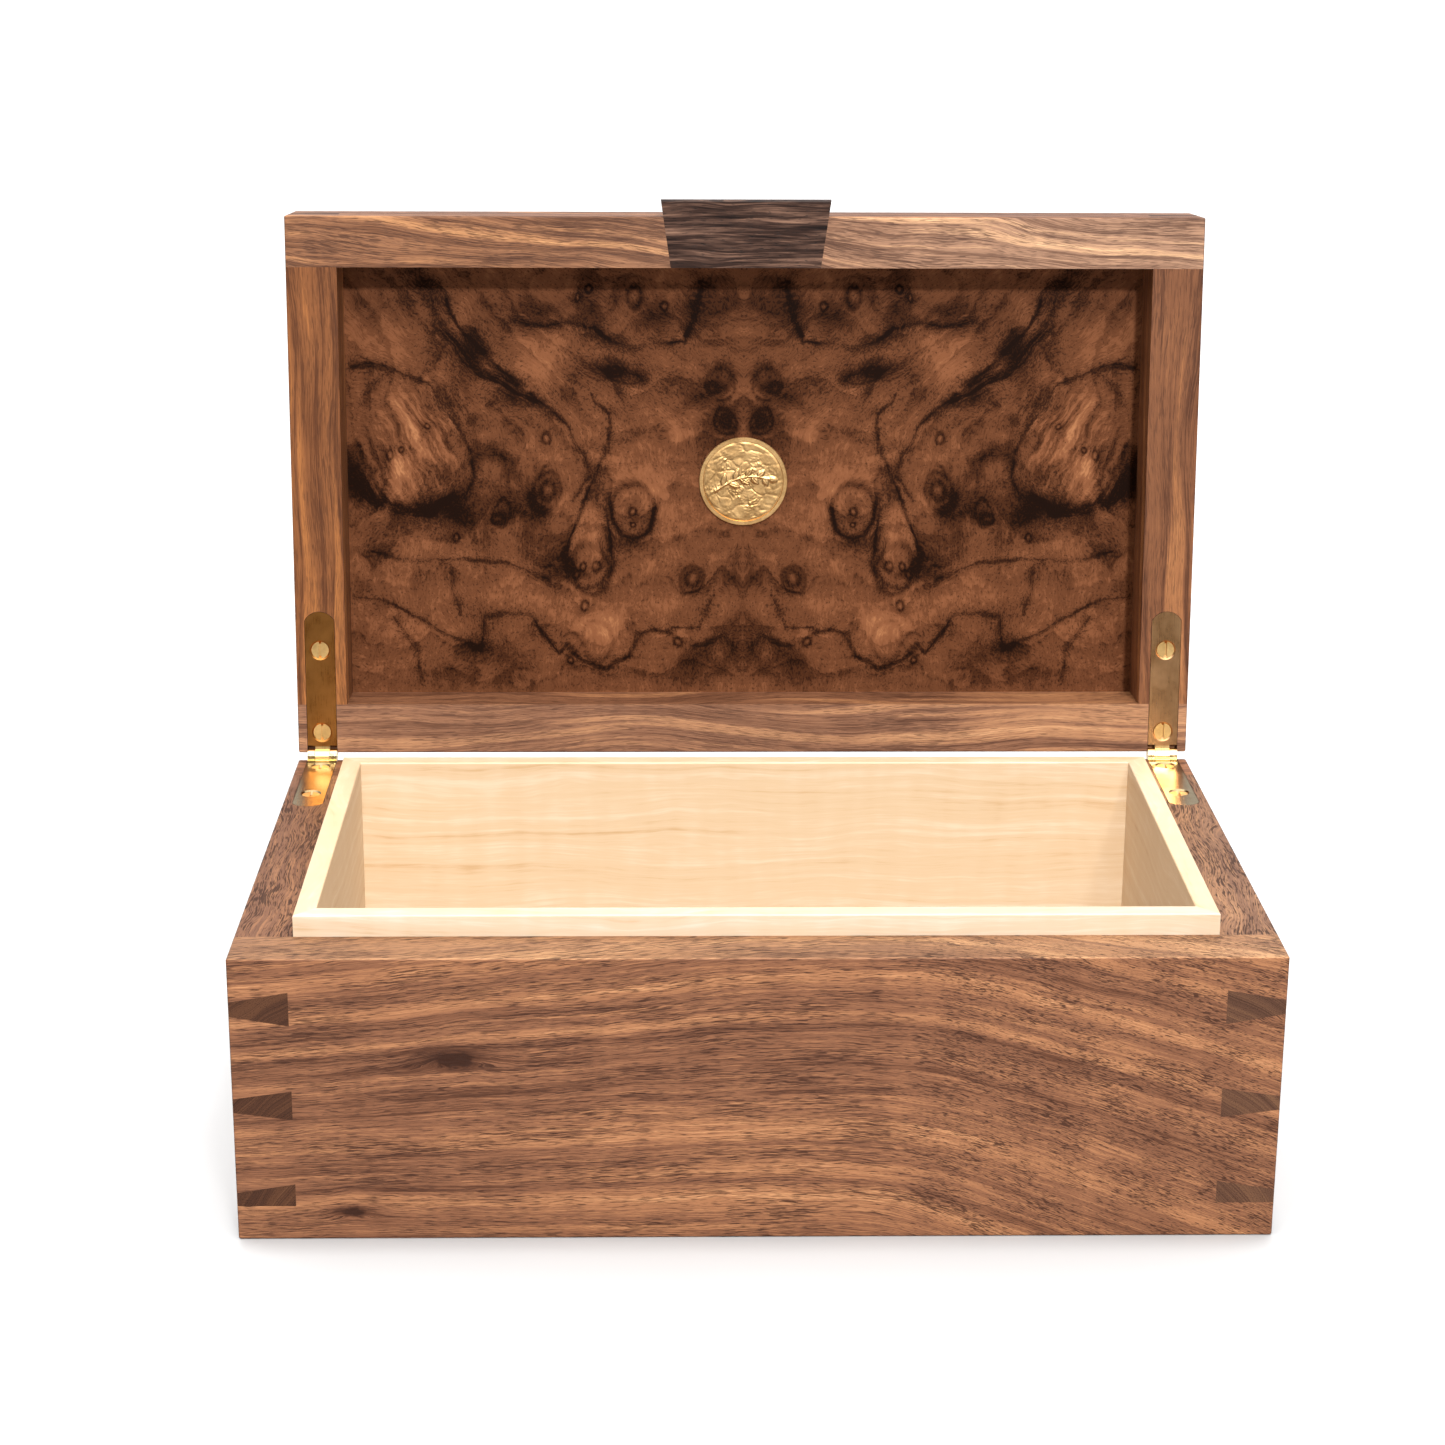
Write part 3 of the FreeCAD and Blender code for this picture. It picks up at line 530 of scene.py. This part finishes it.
# Soft patches: place, half-width, half-height, tilt in degrees, strength; dark ones are negative.
# All the strengths are multiplied by PATCH_STRENGTH.
PATCH_STRENGTH = 1.2
BURL_PATCHES = [
    ((126, 2), 8, 13, 0, -0.34), ((113, -11), 14, 5, -15, -0.24), ((92, -12), 5, 7, 0, -0.28),
    ((76, -14), 14, 9, 0, -0.22), ((68, -8), 7, 8, 0, -0.16), ((60, 57), 18, 8, 0, -0.28),
    ((28, 57), 12, 8, 0, -0.26), ((10, 60), 9, 8, 0, -0.32), ((8, 26), 9, 14, 0, -0.38),
    ((14, -52), 16, 10, 0, -0.16), ((61, -26), 4, 9, 10, -0.28), ((40, 36), 9, 3, -10, -0.26),
    ((36, -22), 9, 5, 0, -0.16), ((80, -62), 22, 8, 0, -0.22), ((14, -60), 22, 8, 0, -0.18),
    ((90, 42), 6, 14, 35, -0.20), ((80, 10), 9, 20, -8, -0.34),
    ((120, 60), 22, 8, 0, -0.06), ((2, -36), 4, 14, 0, -0.20), ((5, 0), 9, 22, 0, -0.06),
    ((66, 36), 17, 7, -38, 0.16), ((44, 15), 8, 9, 0, 0.08), ((26, 22), 8, 22, 0, 0.08),
    ((104, 22), 12, 10, 0, 0.06), ((112, 4), 7, 11, -25, 0.20), ((37, -9), 6, 8, 0, 0.12),
    ((50, -50), 15, 8, 0, 0.18), ((50, -18), 2.5, 10, -6, 0.16), ((80, -36), 26, 6, 0, 0.06),
    ((118, -48), 9, 8, 0, 0.10), ((24, -44), 16, 6, 0, 0.06), ((108, 50), 16, 6, 0, 0.06),
]
# Dark veins, by width in mm and darkness, each a line through a few places.
BURL_VEINS = {
    (2.6, 0.32): [
        [(103, 63), (98, 50), (89, 38), (78, 31), (70, 27)],
        [(50, 39), (45, 36), (38, 34), (32, 33)],
        [(128, 1), (122, -6), (112, -10), (103, -10)],
    ],
    (0.9, 0.27): [
        [(96, 59), (91, 48), (82, 39), (74, 32)],
        [(70, 27), (66, 25), (57, 18), (52, 9), (50, 1), (55, -8)],
        [(128, 38), (114, 36.5), (103, 32), (95, 21), (89, 10), (88, 1), (91, -5)],
        [(114, 36.5), (119, 33), (125, 26)],
        [(96, -5), (103, -10)],
        [(49, 28), (44, 21), (43, 14), (46, 6), (49, -1), (53, -10), (59, -24), (58, -33),
         (52, -35), (46, -34), (42, -28), (44, -18), (45, -9)],
        [(87, -56), (85, -45), (78, -43), (71, -44), (66, -51), (61, -57), (58, -54),
         (53, -60), (46, -62), (38, -58), (34, -51), (29, -49), (24, -51)],
        [(74, 53), (65, 50), (57, 51), (48, 50), (43, 45), (37, 43), (30, 46), (20, 45),
         (16, 53), (14, 61)],
        [(44, 36), (40, 30)],
    ],
    (0.75, 0.22): [
        [(122, -23), (114, -26), (103, -26), (91, -27), (78, -27), (64, -33)],
        [(96, -31), (96, -37), (94, -44)],
        [(128, -38), (115, -41), (103, -47), (96, -52), (88, -56)],
        [(115, -45), (111, -51), (107, -59), (106, -66)],
        [(23, -49), (14, -48), (11, -41), (9, -38)],
        [(16, -55), (6, -52), (2, -56)],
        [(44, -6), (43, -13), (40, -18), (36, -19), (31, -16), (30, -9)],
        [(70, -4), (69, -9), (65, -11)],
    ],
}
# Burl from its darkest tone to its palest.
BURL = [(0.00, (0.017, 0.0052, 0.0018)), (0.24, (0.050, 0.0162, 0.0060)),
        (0.48, (0.112, 0.0395, 0.0160)), (0.68, (0.188, 0.0695, 0.0295)),
        (1.00, (0.345, 0.1480, 0.0640))]


def make_group(name, inputs, build):
    """A node group with one number out; build makes it from a wire for each named vector in."""
    group = bpy.data.node_groups.new(name, "ShaderNodeTree")
    for label in inputs:
        group.interface.new_socket(label, in_out="INPUT", socket_type="NodeSocketVector")
    group.interface.new_socket("Value", in_out="OUTPUT", socket_type="NodeSocketFloat")
    entry = group.nodes.new("NodeGroupInput")
    result = build(*(Wire(group, entry.outputs[label]) for label in inputs))
    leave = group.nodes.new("NodeGroupOutput")
    group.links.new(result.socket, leave.inputs[0])
    return group


def use_group(group, tree, *values):
    """A group's number for these values, in the order of its inputs."""
    node = tree.nodes.new("ShaderNodeGroup")
    node.node_tree = group
    for socket, value in zip(node.inputs, values):
        plug(tree, socket, value)
    return Wire(tree, node.outputs[0])


def from_segment(place, start, along, share_along):
    """Distance to a straight segment; share_along is along divided by its length squared."""
    reach = vector_math("SUBTRACT", place, start)
    share = vector_math("DOT_PRODUCT", reach, share_along, output="Value")
    share = share.math("MAXIMUM", 0.0).math("MINIMUM", 1.0)
    return vector_math("DISTANCE", reach, scaled(along, share), output="Value")


def from_oval(place, middle, size, turn):
    """Distance from an oval's middle, where the oval itself is at 1."""
    inputs = {"Vector": place, "Location": middle, "Scale": size, "Rotation": turn}
    own = add_node(place.tree, "Mapping", inputs, vector_type="TEXTURE")
    return vector_math("LENGTH", own, output="Value")


def burl_eye(*oval):
    """How much an eye darkens the wood: a ring in a soft shade, with a paler core."""
    away = from_oval(*oval)
    return 0.26 * gauss((away - 1.0) * 2.6) + 0.14 * gauss(away / 2.6) - 0.12 * gauss(away * 2.4)


def distance_to_lines(place, lines, segment):
    """Distance in mm from a wired place to the nearest of several lines through corners."""
    nearest = None
    for corners in lines:
        for (x1, y1), (x2, y2) in zip(corners, corners[1:]):
            along = Vector((x2 - x1, y2 - y1, 0))
            away = use_group(segment, place.tree, place, (x1, y1, 0), tuple(along),
                             tuple(along / along.length_squared))
            nearest = away if nearest is None else nearest.math("MINIMUM", away)
    return nearest


def burl_panel(name):
    """Book-matched walnut burl: growth layers that swirl round buds, cut by dark veins."""
    oval = ("Place", "Middle", "Size", "Turn")
    spot = make_group("soft_spot", oval, lambda *wires: gauss(from_oval(*wires)))
    bud = make_group("bud", oval, lambda *wires: gauss(from_oval(*wires).math("POWER", 2.0)))
    outline = make_group("outline", oval, lambda *wires: gauss((from_oval(*wires) - 1.0) * 6.5))
    eye = make_group("eye", oval, burl_eye)
    segment = make_group("segment", ("Place", "Start", "Along", "Share"), from_segment)

    material = new_material(name)
    tree = material.node_tree
    place, _ = piece_place(tree, True)
    x, y, z = split(place)
    height = -1 * y + centre_of("lid_panel_core").y
    flat = vector(x.math("ABSOLUTE"), height, z * 0.2)
    calm = vector_math("MULTIPLY", wander(flat, 0.09, 4.5), (1, 1, 0))
    near = vector_math("MULTIPLY", wander(calm, 0.45, 1.1, 2.0), (1, 1, 0))
    far = wander(near, 0.05, 8.0, 2.0)
    u, v, _ = split(far)

    # layers sweep down from the upper outer corner to the middle and lie level near the bottom
    sweep = (u - 45).math("SMOOTH_MAX", 0.0, 20.0) * rise(v, -32, 8)
    swirl = 0.0
    for middle, wide, tall, tilt, push in BURL_BUDS:
        turn = (0, 0, math.radians(tilt))
        swirl = swirl + push * use_group(bud, tree, near, (*middle, 0), (wide, tall, 1), turn)
    layers = v * 0.9 - 1.05 * sweep + swirl
    fibres = u - 1.2 * (v - 18).math("SMOOTH_MAX", 0.0, 15.0) + 0.4 * swirl
    clouds = grain(far, 0.05, 4.0, 0.6)
    mottle = grain(near, 0.21, 4.0, 0.66)
    bands = (layers / 14.0 + 1.8 * clouds).math("FRACT")
    tone = 0.535 - 0.18 * bands.math("POWER", 3.0) * rise(1 - bands, 0.0, 0.10)
    tone = tone + 0.30 * grain(vector(u * 0.05, v * 0.05, layers * 0.24), 1.0, 2.0, 0.6)
    tone = tone + 0.34 * grain(vector(fibres * 1.1, v * 0.13 + 0.1 * u, layers * 0.2), 1.0, 3.0, 0.7)
    tone = tone + 0.54 * clouds + 0.46 * mottle

    for middle, wide, tall, tilt, strength in BURL_PATCHES:
        turn = (0, 0, math.radians(tilt))
        patch = use_group(spot, tree, far, (*middle, 0), (wide, tall, 1), turn)
        tone = tone + PATCH_STRENGTH * strength * patch
    # the large bud at the outer side has streaks like brush strokes
    middle, wide, tall, tilt, _ = BURL_BUDS[0]
    inside = use_group(bud, tree, near, (*middle, 0), (wide * 0.8, tall * 0.9, 1), (0, 0, 0.35))
    stroke = add_node(tree, "VectorRotate", {"Vector": near, "Angle": math.radians(-62)},
                      rotation_type="Z_AXIS")
    stroke = vector_math("MULTIPLY", stroke, (0.06, 0.30, 1))
    tone = tone + 1.9 * inside * grain(stroke, 1.0, 3.0, 0.65)

    # a vein has a dark core that breaks up into hairs, and a soft halo that varies in width
    shows = rise(grain(near, 0.085, 2.0) + 0.5 * mottle, -0.22, 0.20)
    spread = 0.42 + 1.3 * clouds
    crowd = 0.0
    for (width, darkness), lines in BURL_VEINS.items():
        away = distance_to_lines(near, lines, segment)
        hairs = rise(grain(vector(away * 0.8, u * 0.07, v * 0.07), 1.0, 2.0, 0.7), -0.10, 0.06)
        core = gauss(away / width) * (0.45 + 0.55 * shows) * (0.35 + 0.85 * hairs)
        halo = (-1 * away * spread / width).math("EXPONENT") * (0.5 + 0.5 * shows)
        tone = tone - darkness * core - 0.75 * darkness * halo
        crowd = crowd + halo
    for middle, wide, tall, tilt, strength in BURL_OVALS:
        turn = (0, 0, math.radians(tilt))
        tone = tone - strength * use_group(outline, tree, calm, (*middle, 0), (wide, tall, 1), turn)
    for middle, radius in BURL_EYES:
        size = (radius, radius * 1.25, 1)
        tone = tone - use_group(eye, tree, calm, (*middle, 0), size, (0, 0, 0))

    # fine fibres, and dark specks that crowd near the veins and in dark wood
    tone = tone + 0.42 * grain(vector(fibres / 0.8, v / 1.6, z), 1.0, 3.0, 0.75)
    stipple = grain(vector(u / 0.62, v / 0.74, z), 1.0, 1.0) + 0.14 * crowd - 0.30 * tone
    specks = rise(stipple, -0.04, 0.06)
    colour = ramp(tone, BURL)
    colour = scaled(colour, 1.10 - 0.56 * specks)
    return finish_material(material, colour, 0.36 + 0.10 * specks, Specular_IOR_Level=0.05)


# How far the polished knuckles reach from the hinge's axis, in mm.
KNUCKLE_REACH = 3.0


def brass(name, colour, rough, brushed, knuckle=None):
    """Lacquered brass; brushed along the leaf, or mottled where it is turned or cast.

    knuckle is the colour of the polished part round the hinge's axis.
    """
    material = new_material(name)
    tree = material.node_tree
    place, _ = piece_place(tree, False)
    x, y, z = split(place)
    if brushed:
        marks = grain(vector(x / 0.10, y / 9.0, z / 9.0), 1.0, 2.0, 0.7)
    else:
        marks = grain(place, 1.4, 3.0, 0.6)
    tarnish = grain(place, 0.16, 3.0, 0.6)
    deep = tuple(channel * share for channel, share in zip(colour, (0.80, 0.74, 0.66)))
    tint = blend(rise(tarnish + 0.4 * marks, -0.25, 0.25), deep, colour)
    roughness = rough + 0.16 * marks + 0.10 * tarnish
    if knuckle:
        axis = HINGE_PLACE / MM
        away = vector_math("LENGTH", vector(0.0, y - axis.y, z - axis.z), output="Value")
        tint = blend(rise(away, KNUCKLE_REACH + 0.6, KNUCKLE_REACH), tint, knuckle)
    return finish_material(material, tint, roughness, bump=marks, depth=0.015, Metallic=1.0)


def suede():
    """The floor pad: short brushed nap in patches."""
    material = new_material("suede")
    tree = material.node_tree
    place, _ = piece_place(tree, False)
    nap = grain(place, 2.2, 3.0, 0.7)
    patches = grain(place, 0.05, 3.0, 0.6)
    colour = ramp(0.5 + 0.5 * nap + 0.7 * patches, [(0.15, (0.085, 0.045, 0.026)),
                                                     (0.85, (0.190, 0.110, 0.068))])
    roughness = 0.88 + 0.10 * nap
    return finish_material(material, colour, roughness, bump=nap, depth=0.15,
                           Sheen_Weight=0.5, Sheen_Roughness=0.4)


def pale_floor():
    """Even light grey, a touch mottled."""
    material = new_material("pale_floor")
    tree = material.node_tree
    place = add_node(tree, "TexCoord", {}, "Object")
    mottle = grain(place, 14.0, 2.0)
    colour = ramp(0.5 + mottle, [(0.0, (0.59, 0.59, 0.59)), (1.0, (0.61, 0.61, 0.61))])
    return finish_material(material, colour, 0.75 + 0.1 * mottle)


def add_floor():
    """A plain pale floor, far wider than the view, that does not show in reflections."""
    mesh = bpy.data.meshes.new("floor")
    shape = bmesh.new()
    bmesh.ops.create_grid(shape, x_segments=1, y_segments=1, size=FLOOR_REACH)
    shape.to_mesh(mesh)
    shape.free()
    mesh.materials.append(pale_floor())
    floor = bpy.data.objects.new("floor", mesh)
    bpy.context.scene.collection.objects.link(floor)
    floor.visible_glossy = False
    return floor


def light_scene(floor):
    """Two soft lamps in front for the box, and one overhead for the shadow at its foot.

    The key leaves out the floor, and the case's right side does not stop it, so the shadows stay
    as faint as in a light tent.
    """
    key = add_sun("key", 28.0, 7.0, 4.0, 0.85)
    add_sun("fill", 50.0, 17.0, 6.0, 0.2)
    top = add_sun("top", 86.0, 180.0, 8.0, 0.36)
    right_side = [frame["nodes"][node] for node in ("liner_right", "right_side_board")]
    light_only(key, "receiver_collection", [floor], "EXCLUDE")
    light_only(key, "blocker_collection", right_side, "EXCLUDE")
    light_only(top, "receiver_collection", [floor], "INCLUDE")


# ---------------------------------------------------------------- which piece gets which look

# Walnut boards: direction of the grain, seed, place of the heart line across and through the
# board in mm, and what differs from plain walnut_board.
BOARDS = {
    "back_board": ("X", 11.0, (-60.0, 70.0), {}),
    "left_side_board": ("Y", 17.0, (62.0, -70.0),
                        {"tint": (0.85, 0.91, 0.97), "end_tint": (0.280, 0.255, 0.250)}),
    "right_side_board": ("Y", 23.0, (-62.0, -70.0),
                         {"tint": (0.92, 1.08, 1.22), "end_tint": (0.430, 0.460, 0.520)}),
    # the front rail's inner face is painted paler and greyer towards its right end: a painted sheen
    "lid_front_rail": ("X", 31.0, (-45.0, 20.0),
                       {"lift": -0.09, "contrast": 2.4, "fine": 0.9, "tint": (1.16, 1.18, 1.12),
                        "inner_tints_and_sheen": ((1.22, 1.31, 1.27), (1.69, 2.30, 2.91))}),
    "lid_back_rail": ("X", 37.0, (90.0, 30.0),
                      {"sway": 2.0, "contrast": 1.9, "fine": 0.8, "tint": (1.16, 1.20, 1.20),
                       "inner_tints_and_sheen": ((1.29, 1.50, 1.70), (1.29, 1.50, 1.70))}),
    "lid_left_rail": ("Y", 41.0, (38.0, 22.0),
                      {"sway": 1.2, "contrast": 2.2, "fine": 0.7, "tint": (1.16, 1.12, 0.92),
                       "inner_tints_and_sheen": ((0.98, 0.85, 0.55), (0.98, 0.85, 0.55))}),
    "lid_right_rail": ("Y", 47.0, (-45.0, 26.0),
                       {"sway": 1.2, "contrast": 2.2, "fine": 0.7, "tint": (1.08, 1.04, 0.92),
                        "inner_tints_and_sheen": ((0.885, 0.83, 0.715), (0.885, 0.83, 0.715))}),
}
# The front liner board is a little cooler than the other three.
LINER_TINTS = {"front": (0.97, 1.03, 1.16), "back": PLAIN, "left": PLAIN, "right": PLAIN}
# Brass colours. The leaves are duller than the turned parts. The two lid leaves are one brass: the
# left is painted darker as painted shade, the right paler as painted light.
LEFT_LID_LEAF_PAINTED_SHADE, RIGHT_LID_LEAF_PAINTED_LIGHT = (0.525, 0.228, 0.057), (0.74, 0.425, 0.205)
CASE_LEAF, KNUCKLE = (0.40, 0.310, 0.170), (0.92, 0.70, 0.36)
PIN, SCREW, MEDALLION = (0.95, 0.66, 0.28), (0.94, 0.64, 0.27), (0.735, 0.468, 0.207)


def dress(node, material):
    """Puts a material in each slot of a CAD piece."""
    for slot in frame["nodes"][node].material_slots:
        slot.material = material


def dress_wood():
    """Boards, rails, liner, panels, veneers and the finger pull."""
    dress("front_board", front_board_walnut())
    for node, (lengthwise, seed, heart, options) in BOARDS.items():
        dress(node, walnut_board(node, lengthwise, seed, heart, **options))
    for number, (side, tint) in enumerate(LINER_TINTS.items()):
        along = "X" if side in ("front", "back") else "Y"
        dress("liner_" + side, maple("liner_" + side, along, 2.0 + 5 * number, tint))
    dress("bottom_panel", maple("bottom_panel", "X", 51.0))
    dress("lid_panel_core", maple("lid_panel_core", "X", 57.0))
    burl = burl_panel("burl")
    for face in ("inner", "outer"):
        for side in ("left", "right"):
            dress(f"lid_{face}_veneer_{side}", burl)
    dress("lid_pull", rosewood())


def dress_hinges():
    """Leaves, pins and screws of both hinges."""
    # one brass for both lid leaves, painted darker on the left and paler on the right: painted shade
    # and painted light
    lid_leaves = {
        "left": brass("brass_lid_leaf_left_painted_shade", LEFT_LID_LEAF_PAINTED_SHADE, 0.30, True, KNUCKLE),
        "right": brass("brass_lid_leaf_right_painted_light", RIGHT_LID_LEAF_PAINTED_LIGHT, 0.30, True, KNUCKLE),
    }
    case_leaf = brass("brass_case_leaf", CASE_LEAF, 0.17, True, KNUCKLE)
    pin = brass("brass_pin", PIN, 0.22, False)
    screw = brass("brass_screw", SCREW, 0.40, False)
    for side in ("left", "right"):
        dress(side + "_hinge_case_leaf", case_leaf)
        dress(side + "_hinge_lid_leaf", lid_leaves[side])
        for part in ("case", "lid"):
            dress(f"{side}_hinge_{part}_screws", screw)
        dress(side + "_hinge_pin", pin)


def dress_all():
    """Gives every CAD piece its material and adds the two pieces made as meshes."""
    dress_wood()
    dress_hinges()
    gold = brass("brass_medallion", MEDALLION, 0.42, False)
    dress("medallion", gold)
    medallion_relief(gold)
    suede_pad(suede())


# ---------------------------------------------------------------- pieces made as meshes

def add_piece(name, points, faces, material, body):
    """A mesh piece in row coordinates that moves with a body."""
    mesh = bpy.data.meshes.new(name)
    mesh.from_pydata(points, [], faces)
    mesh.materials.append(material)
    mesh.shade_smooth()
    piece = bpy.data.objects.new(name, mesh)
    bpy.context.scene.collection.objects.link(piece)
    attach(piece, body)
    return piece


# The medallion, in mm: half its thickness, the field below the rim's top, the relief's reach inside
# the rim, how far the relief is let into the field, and its lowest and highest points above it.
HALF_THICK, FIELD_DEPTH = 0.95, 0.55
RELIEF_RADIUS, RELIEF_ROOT = 13.15, 0.12
RELIEF_LOW, RELIEF_HIGH = 0.015, 0.52
# The rings and sectors of the relief's mesh, and the sprig's leaves and the steps along its stem.
RELIEF_RINGS, RELIEF_SECTORS = 66, 180
SPRIG_LEAVES, STEM_STEPS = 9, 120


def sprig_stem(share):
    """A point of the sprig's arched stem, from its foot to its tip."""
    return Vector((-9.2 + 17.6 * share, -3.2 + 4.0 * share + 2.4 * math.sin(math.pi * share)))


def sprig_height(place):
    """Raised leaf sprig: 0 away from it, up to 1 on the stem and on each leaf."""
    reach = min((place - sprig_stem(step / STEM_STEPS)).length for step in range(STEM_STEPS + 1))
    height = max(0.0, 1.0 - (reach / 0.45) ** 2)
    for number in range(SPRIG_LEAVES):
        share = 0.14 + 0.86 * number / (SPRIG_LEAVES - 1)
        side = 0 if number == SPRIG_LEAVES - 1 else (-1) ** number
        root = sprig_stem(share)
        heading = sprig_stem(share + 0.02) - sprig_stem(share - 0.02)
        angle = math.atan2(heading.y, heading.x) + side * math.radians(48)
        long = 4.6 - 1.6 * share
        out = place - root
        along = (out.x * math.cos(angle) + out.y * math.sin(angle)) / long
        across = -out.x * math.sin(angle) + out.y * math.cos(angle)
        if 0 < along < 1:
            half_width = 1.05 * math.sin(math.pi * along ** 0.8)
            if abs(across) < half_width:
                dome = 1.0 - (across / half_width) ** 2
                rib = 0.35 * math.exp(-(across / 0.16) ** 2)
                height = max(height, dome ** 0.5 - rib)
    return height


def hammered(place):
    """Crumpled cast metal, about 0 to 1: broad planes with creases, and a fine wrinkle in parts."""
    spot = Vector((place.x, place.y, 0.0))
    spot = spot + 1.3 * noise.noise_vector(spot / 3.4)
    nearest, second = noise.voronoi(spot / 4.2)[0][:2]
    crease = math.exp(-((second - nearest) / 0.10) ** 2)
    slant = noise.noise(spot / 3.2 + Vector((7.0, 3.0, 1.0)))
    rough = max(0.0, noise.noise(spot / 4.6 + Vector((1.0, 5.0, 8.0))) + 0.30)
    wrinkle = abs(noise.noise(spot / 0.85 + Vector((2.0, 9.0, 4.0))))
    return 0.45 + 0.40 * slant - 0.30 * crease + 1.2 * rough * wrinkle


def medallion_relief(material):
    """The medallion's cast field: hammered ground with a raised sprig, inside the plain rim."""
    centre = centre_of("medallion")
    field = centre.z - HALF_THICK + FIELD_DEPTH
    opening = Matrix.Rotation(-LID_SWING, 3, "X")

    def placed(u, v, height):
        closed = Vector((centre.x + u, centre.y - v, field - height)) * MM
        return HINGE_PLACE + opening @ closed

    points = [placed(0, 0, 0.1 + 0.3 * hammered(Vector((0, 0))))]
    for ring in range(1, RELIEF_RINGS + 1):
        radius = RELIEF_RADIUS * ring / RELIEF_RINGS
        for sector in range(RELIEF_SECTORS):
            turn = math.tau * sector / RELIEF_SECTORS
            place = Vector((radius * math.cos(turn), radius * math.sin(turn)))
            edge = min(1.0, (RELIEF_RADIUS - radius) / 0.8)
            raised = sprig_height(place)
            height = 0.02 + edge * (0.22 * hammered(place) * (1 - 0.8 * raised) + 0.42 * raised)
            height = max(RELIEF_LOW, min(height, RELIEF_HIGH))
            points.append(placed(place.x, place.y, height))
    for sector in range(RELIEF_SECTORS):
        turn = math.tau * sector / RELIEF_SECTORS
        points.append(placed(RELIEF_RADIUS * math.cos(turn), RELIEF_RADIUS * math.sin(turn),
                             -RELIEF_ROOT))

    def at(ring, sector):
        return 1 + (ring - 1) * RELIEF_SECTORS + sector % RELIEF_SECTORS

    faces = [(0, at(1, sector), at(1, sector + 1)) for sector in range(RELIEF_SECTORS)]
    for ring in range(1, RELIEF_RINGS + 1):
        for sector in range(RELIEF_SECTORS):
            faces.append((at(ring, sector), at(ring + 1, sector),
                          at(ring + 1, sector + 1), at(ring, sector + 1)))
    faces.append(tuple(at(RELIEF_RINGS + 1, sector) for sector in reversed(range(RELIEF_SECTORS))))
    return add_piece("medallion_relief", points, faces, material, "lid")


def eased(count, low, high, soft):
    """Places from low to high, close together near both ends where an edge is rounded."""
    inner = [low + soft + (high - low - 2 * soft) * step / count for step in range(count + 1)]
    insets = [soft * (1 - math.cos(math.pi / 2 * step / 6)) for step in range(6)]
    return [low + inset for inset in insets] + inner + [high - inset for inset in insets[::-1]]


# The floor pad, in metres: the rounding of its edges, how far its middle is crowned, the height of
# its uneven nap, and the spare under the CAD pad's top.
PAD_EDGE, PAD_CROWN, PAD_NAP, PAD_SPARE = 0.0018, 0.0004, 0.00012, 0.00015
PAD_COLUMNS, PAD_ROWS = 70, 40


def suede_pad(material):
    """The floor pad: a thin pad with rounded edges and a slightly crowned, uneven nap."""
    low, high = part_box("floor_pad")
    columns = eased(PAD_COLUMNS, low.x, high.x, PAD_EDGE)
    rows = eased(PAD_ROWS, low.y, high.y, PAD_EDGE)
    middle = (low + high) / 2

    def top(x, y):
        inset = min(x - low.x, high.x - x, y - low.y, high.y - y)
        share = min(1.0, inset / PAD_EDGE)
        round_over = math.sqrt(max(0.0, 1 - (1 - share) ** 2))
        bow = math.cos(math.pi * (x - middle.x) / (high.x - low.x))
        bow *= math.cos(math.pi * (y - middle.y) / (high.y - low.y))
        rough = PAD_NAP * noise.noise(Vector((x, y, 0)) / 0.013)
        full = high.z - low.z - PAD_CROWN - PAD_SPARE
        return low.z + full * (0.25 + 0.75 * round_over) + PAD_CROWN * bow + rough * share

    wide = len(columns)
    points = [Vector((x, y, top(x, y))) for y in rows for x in columns]
    points += [Vector((x, y, low.z)) for y in rows for x in columns]
    under = len(rows) * wide
    faces = []
    for row in range(len(rows) - 1):
        for column in range(wide - 1):
            one = row * wide + column
            quad = (one, one + 1, one + wide + 1, one + wide)
            faces.append(quad)
            faces.append(tuple(under + corner for corner in reversed(quad)))
    rim = list(range(wide))
    rim += [row * wide + wide - 1 for row in range(1, len(rows))]
    rim += [(len(rows) - 1) * wide + column for column in reversed(range(wide - 1))]
    rim += [row * wide for row in reversed(range(1, len(rows) - 1))]
    for one, other in zip(rim, rim[1:] + rim[:1]):
        faces.append((under + one, under + other, other, one))
    pad = add_piece("suede_floor_pad", points, faces, material, "case")
    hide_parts("floor_pad")
    return pad


# ---------------------------------------------------------------- scene

studio_world()
add_camera()
light_scene(add_floor())
dress_all()
bpy.context.scene.view_settings.view_transform = "Standard"
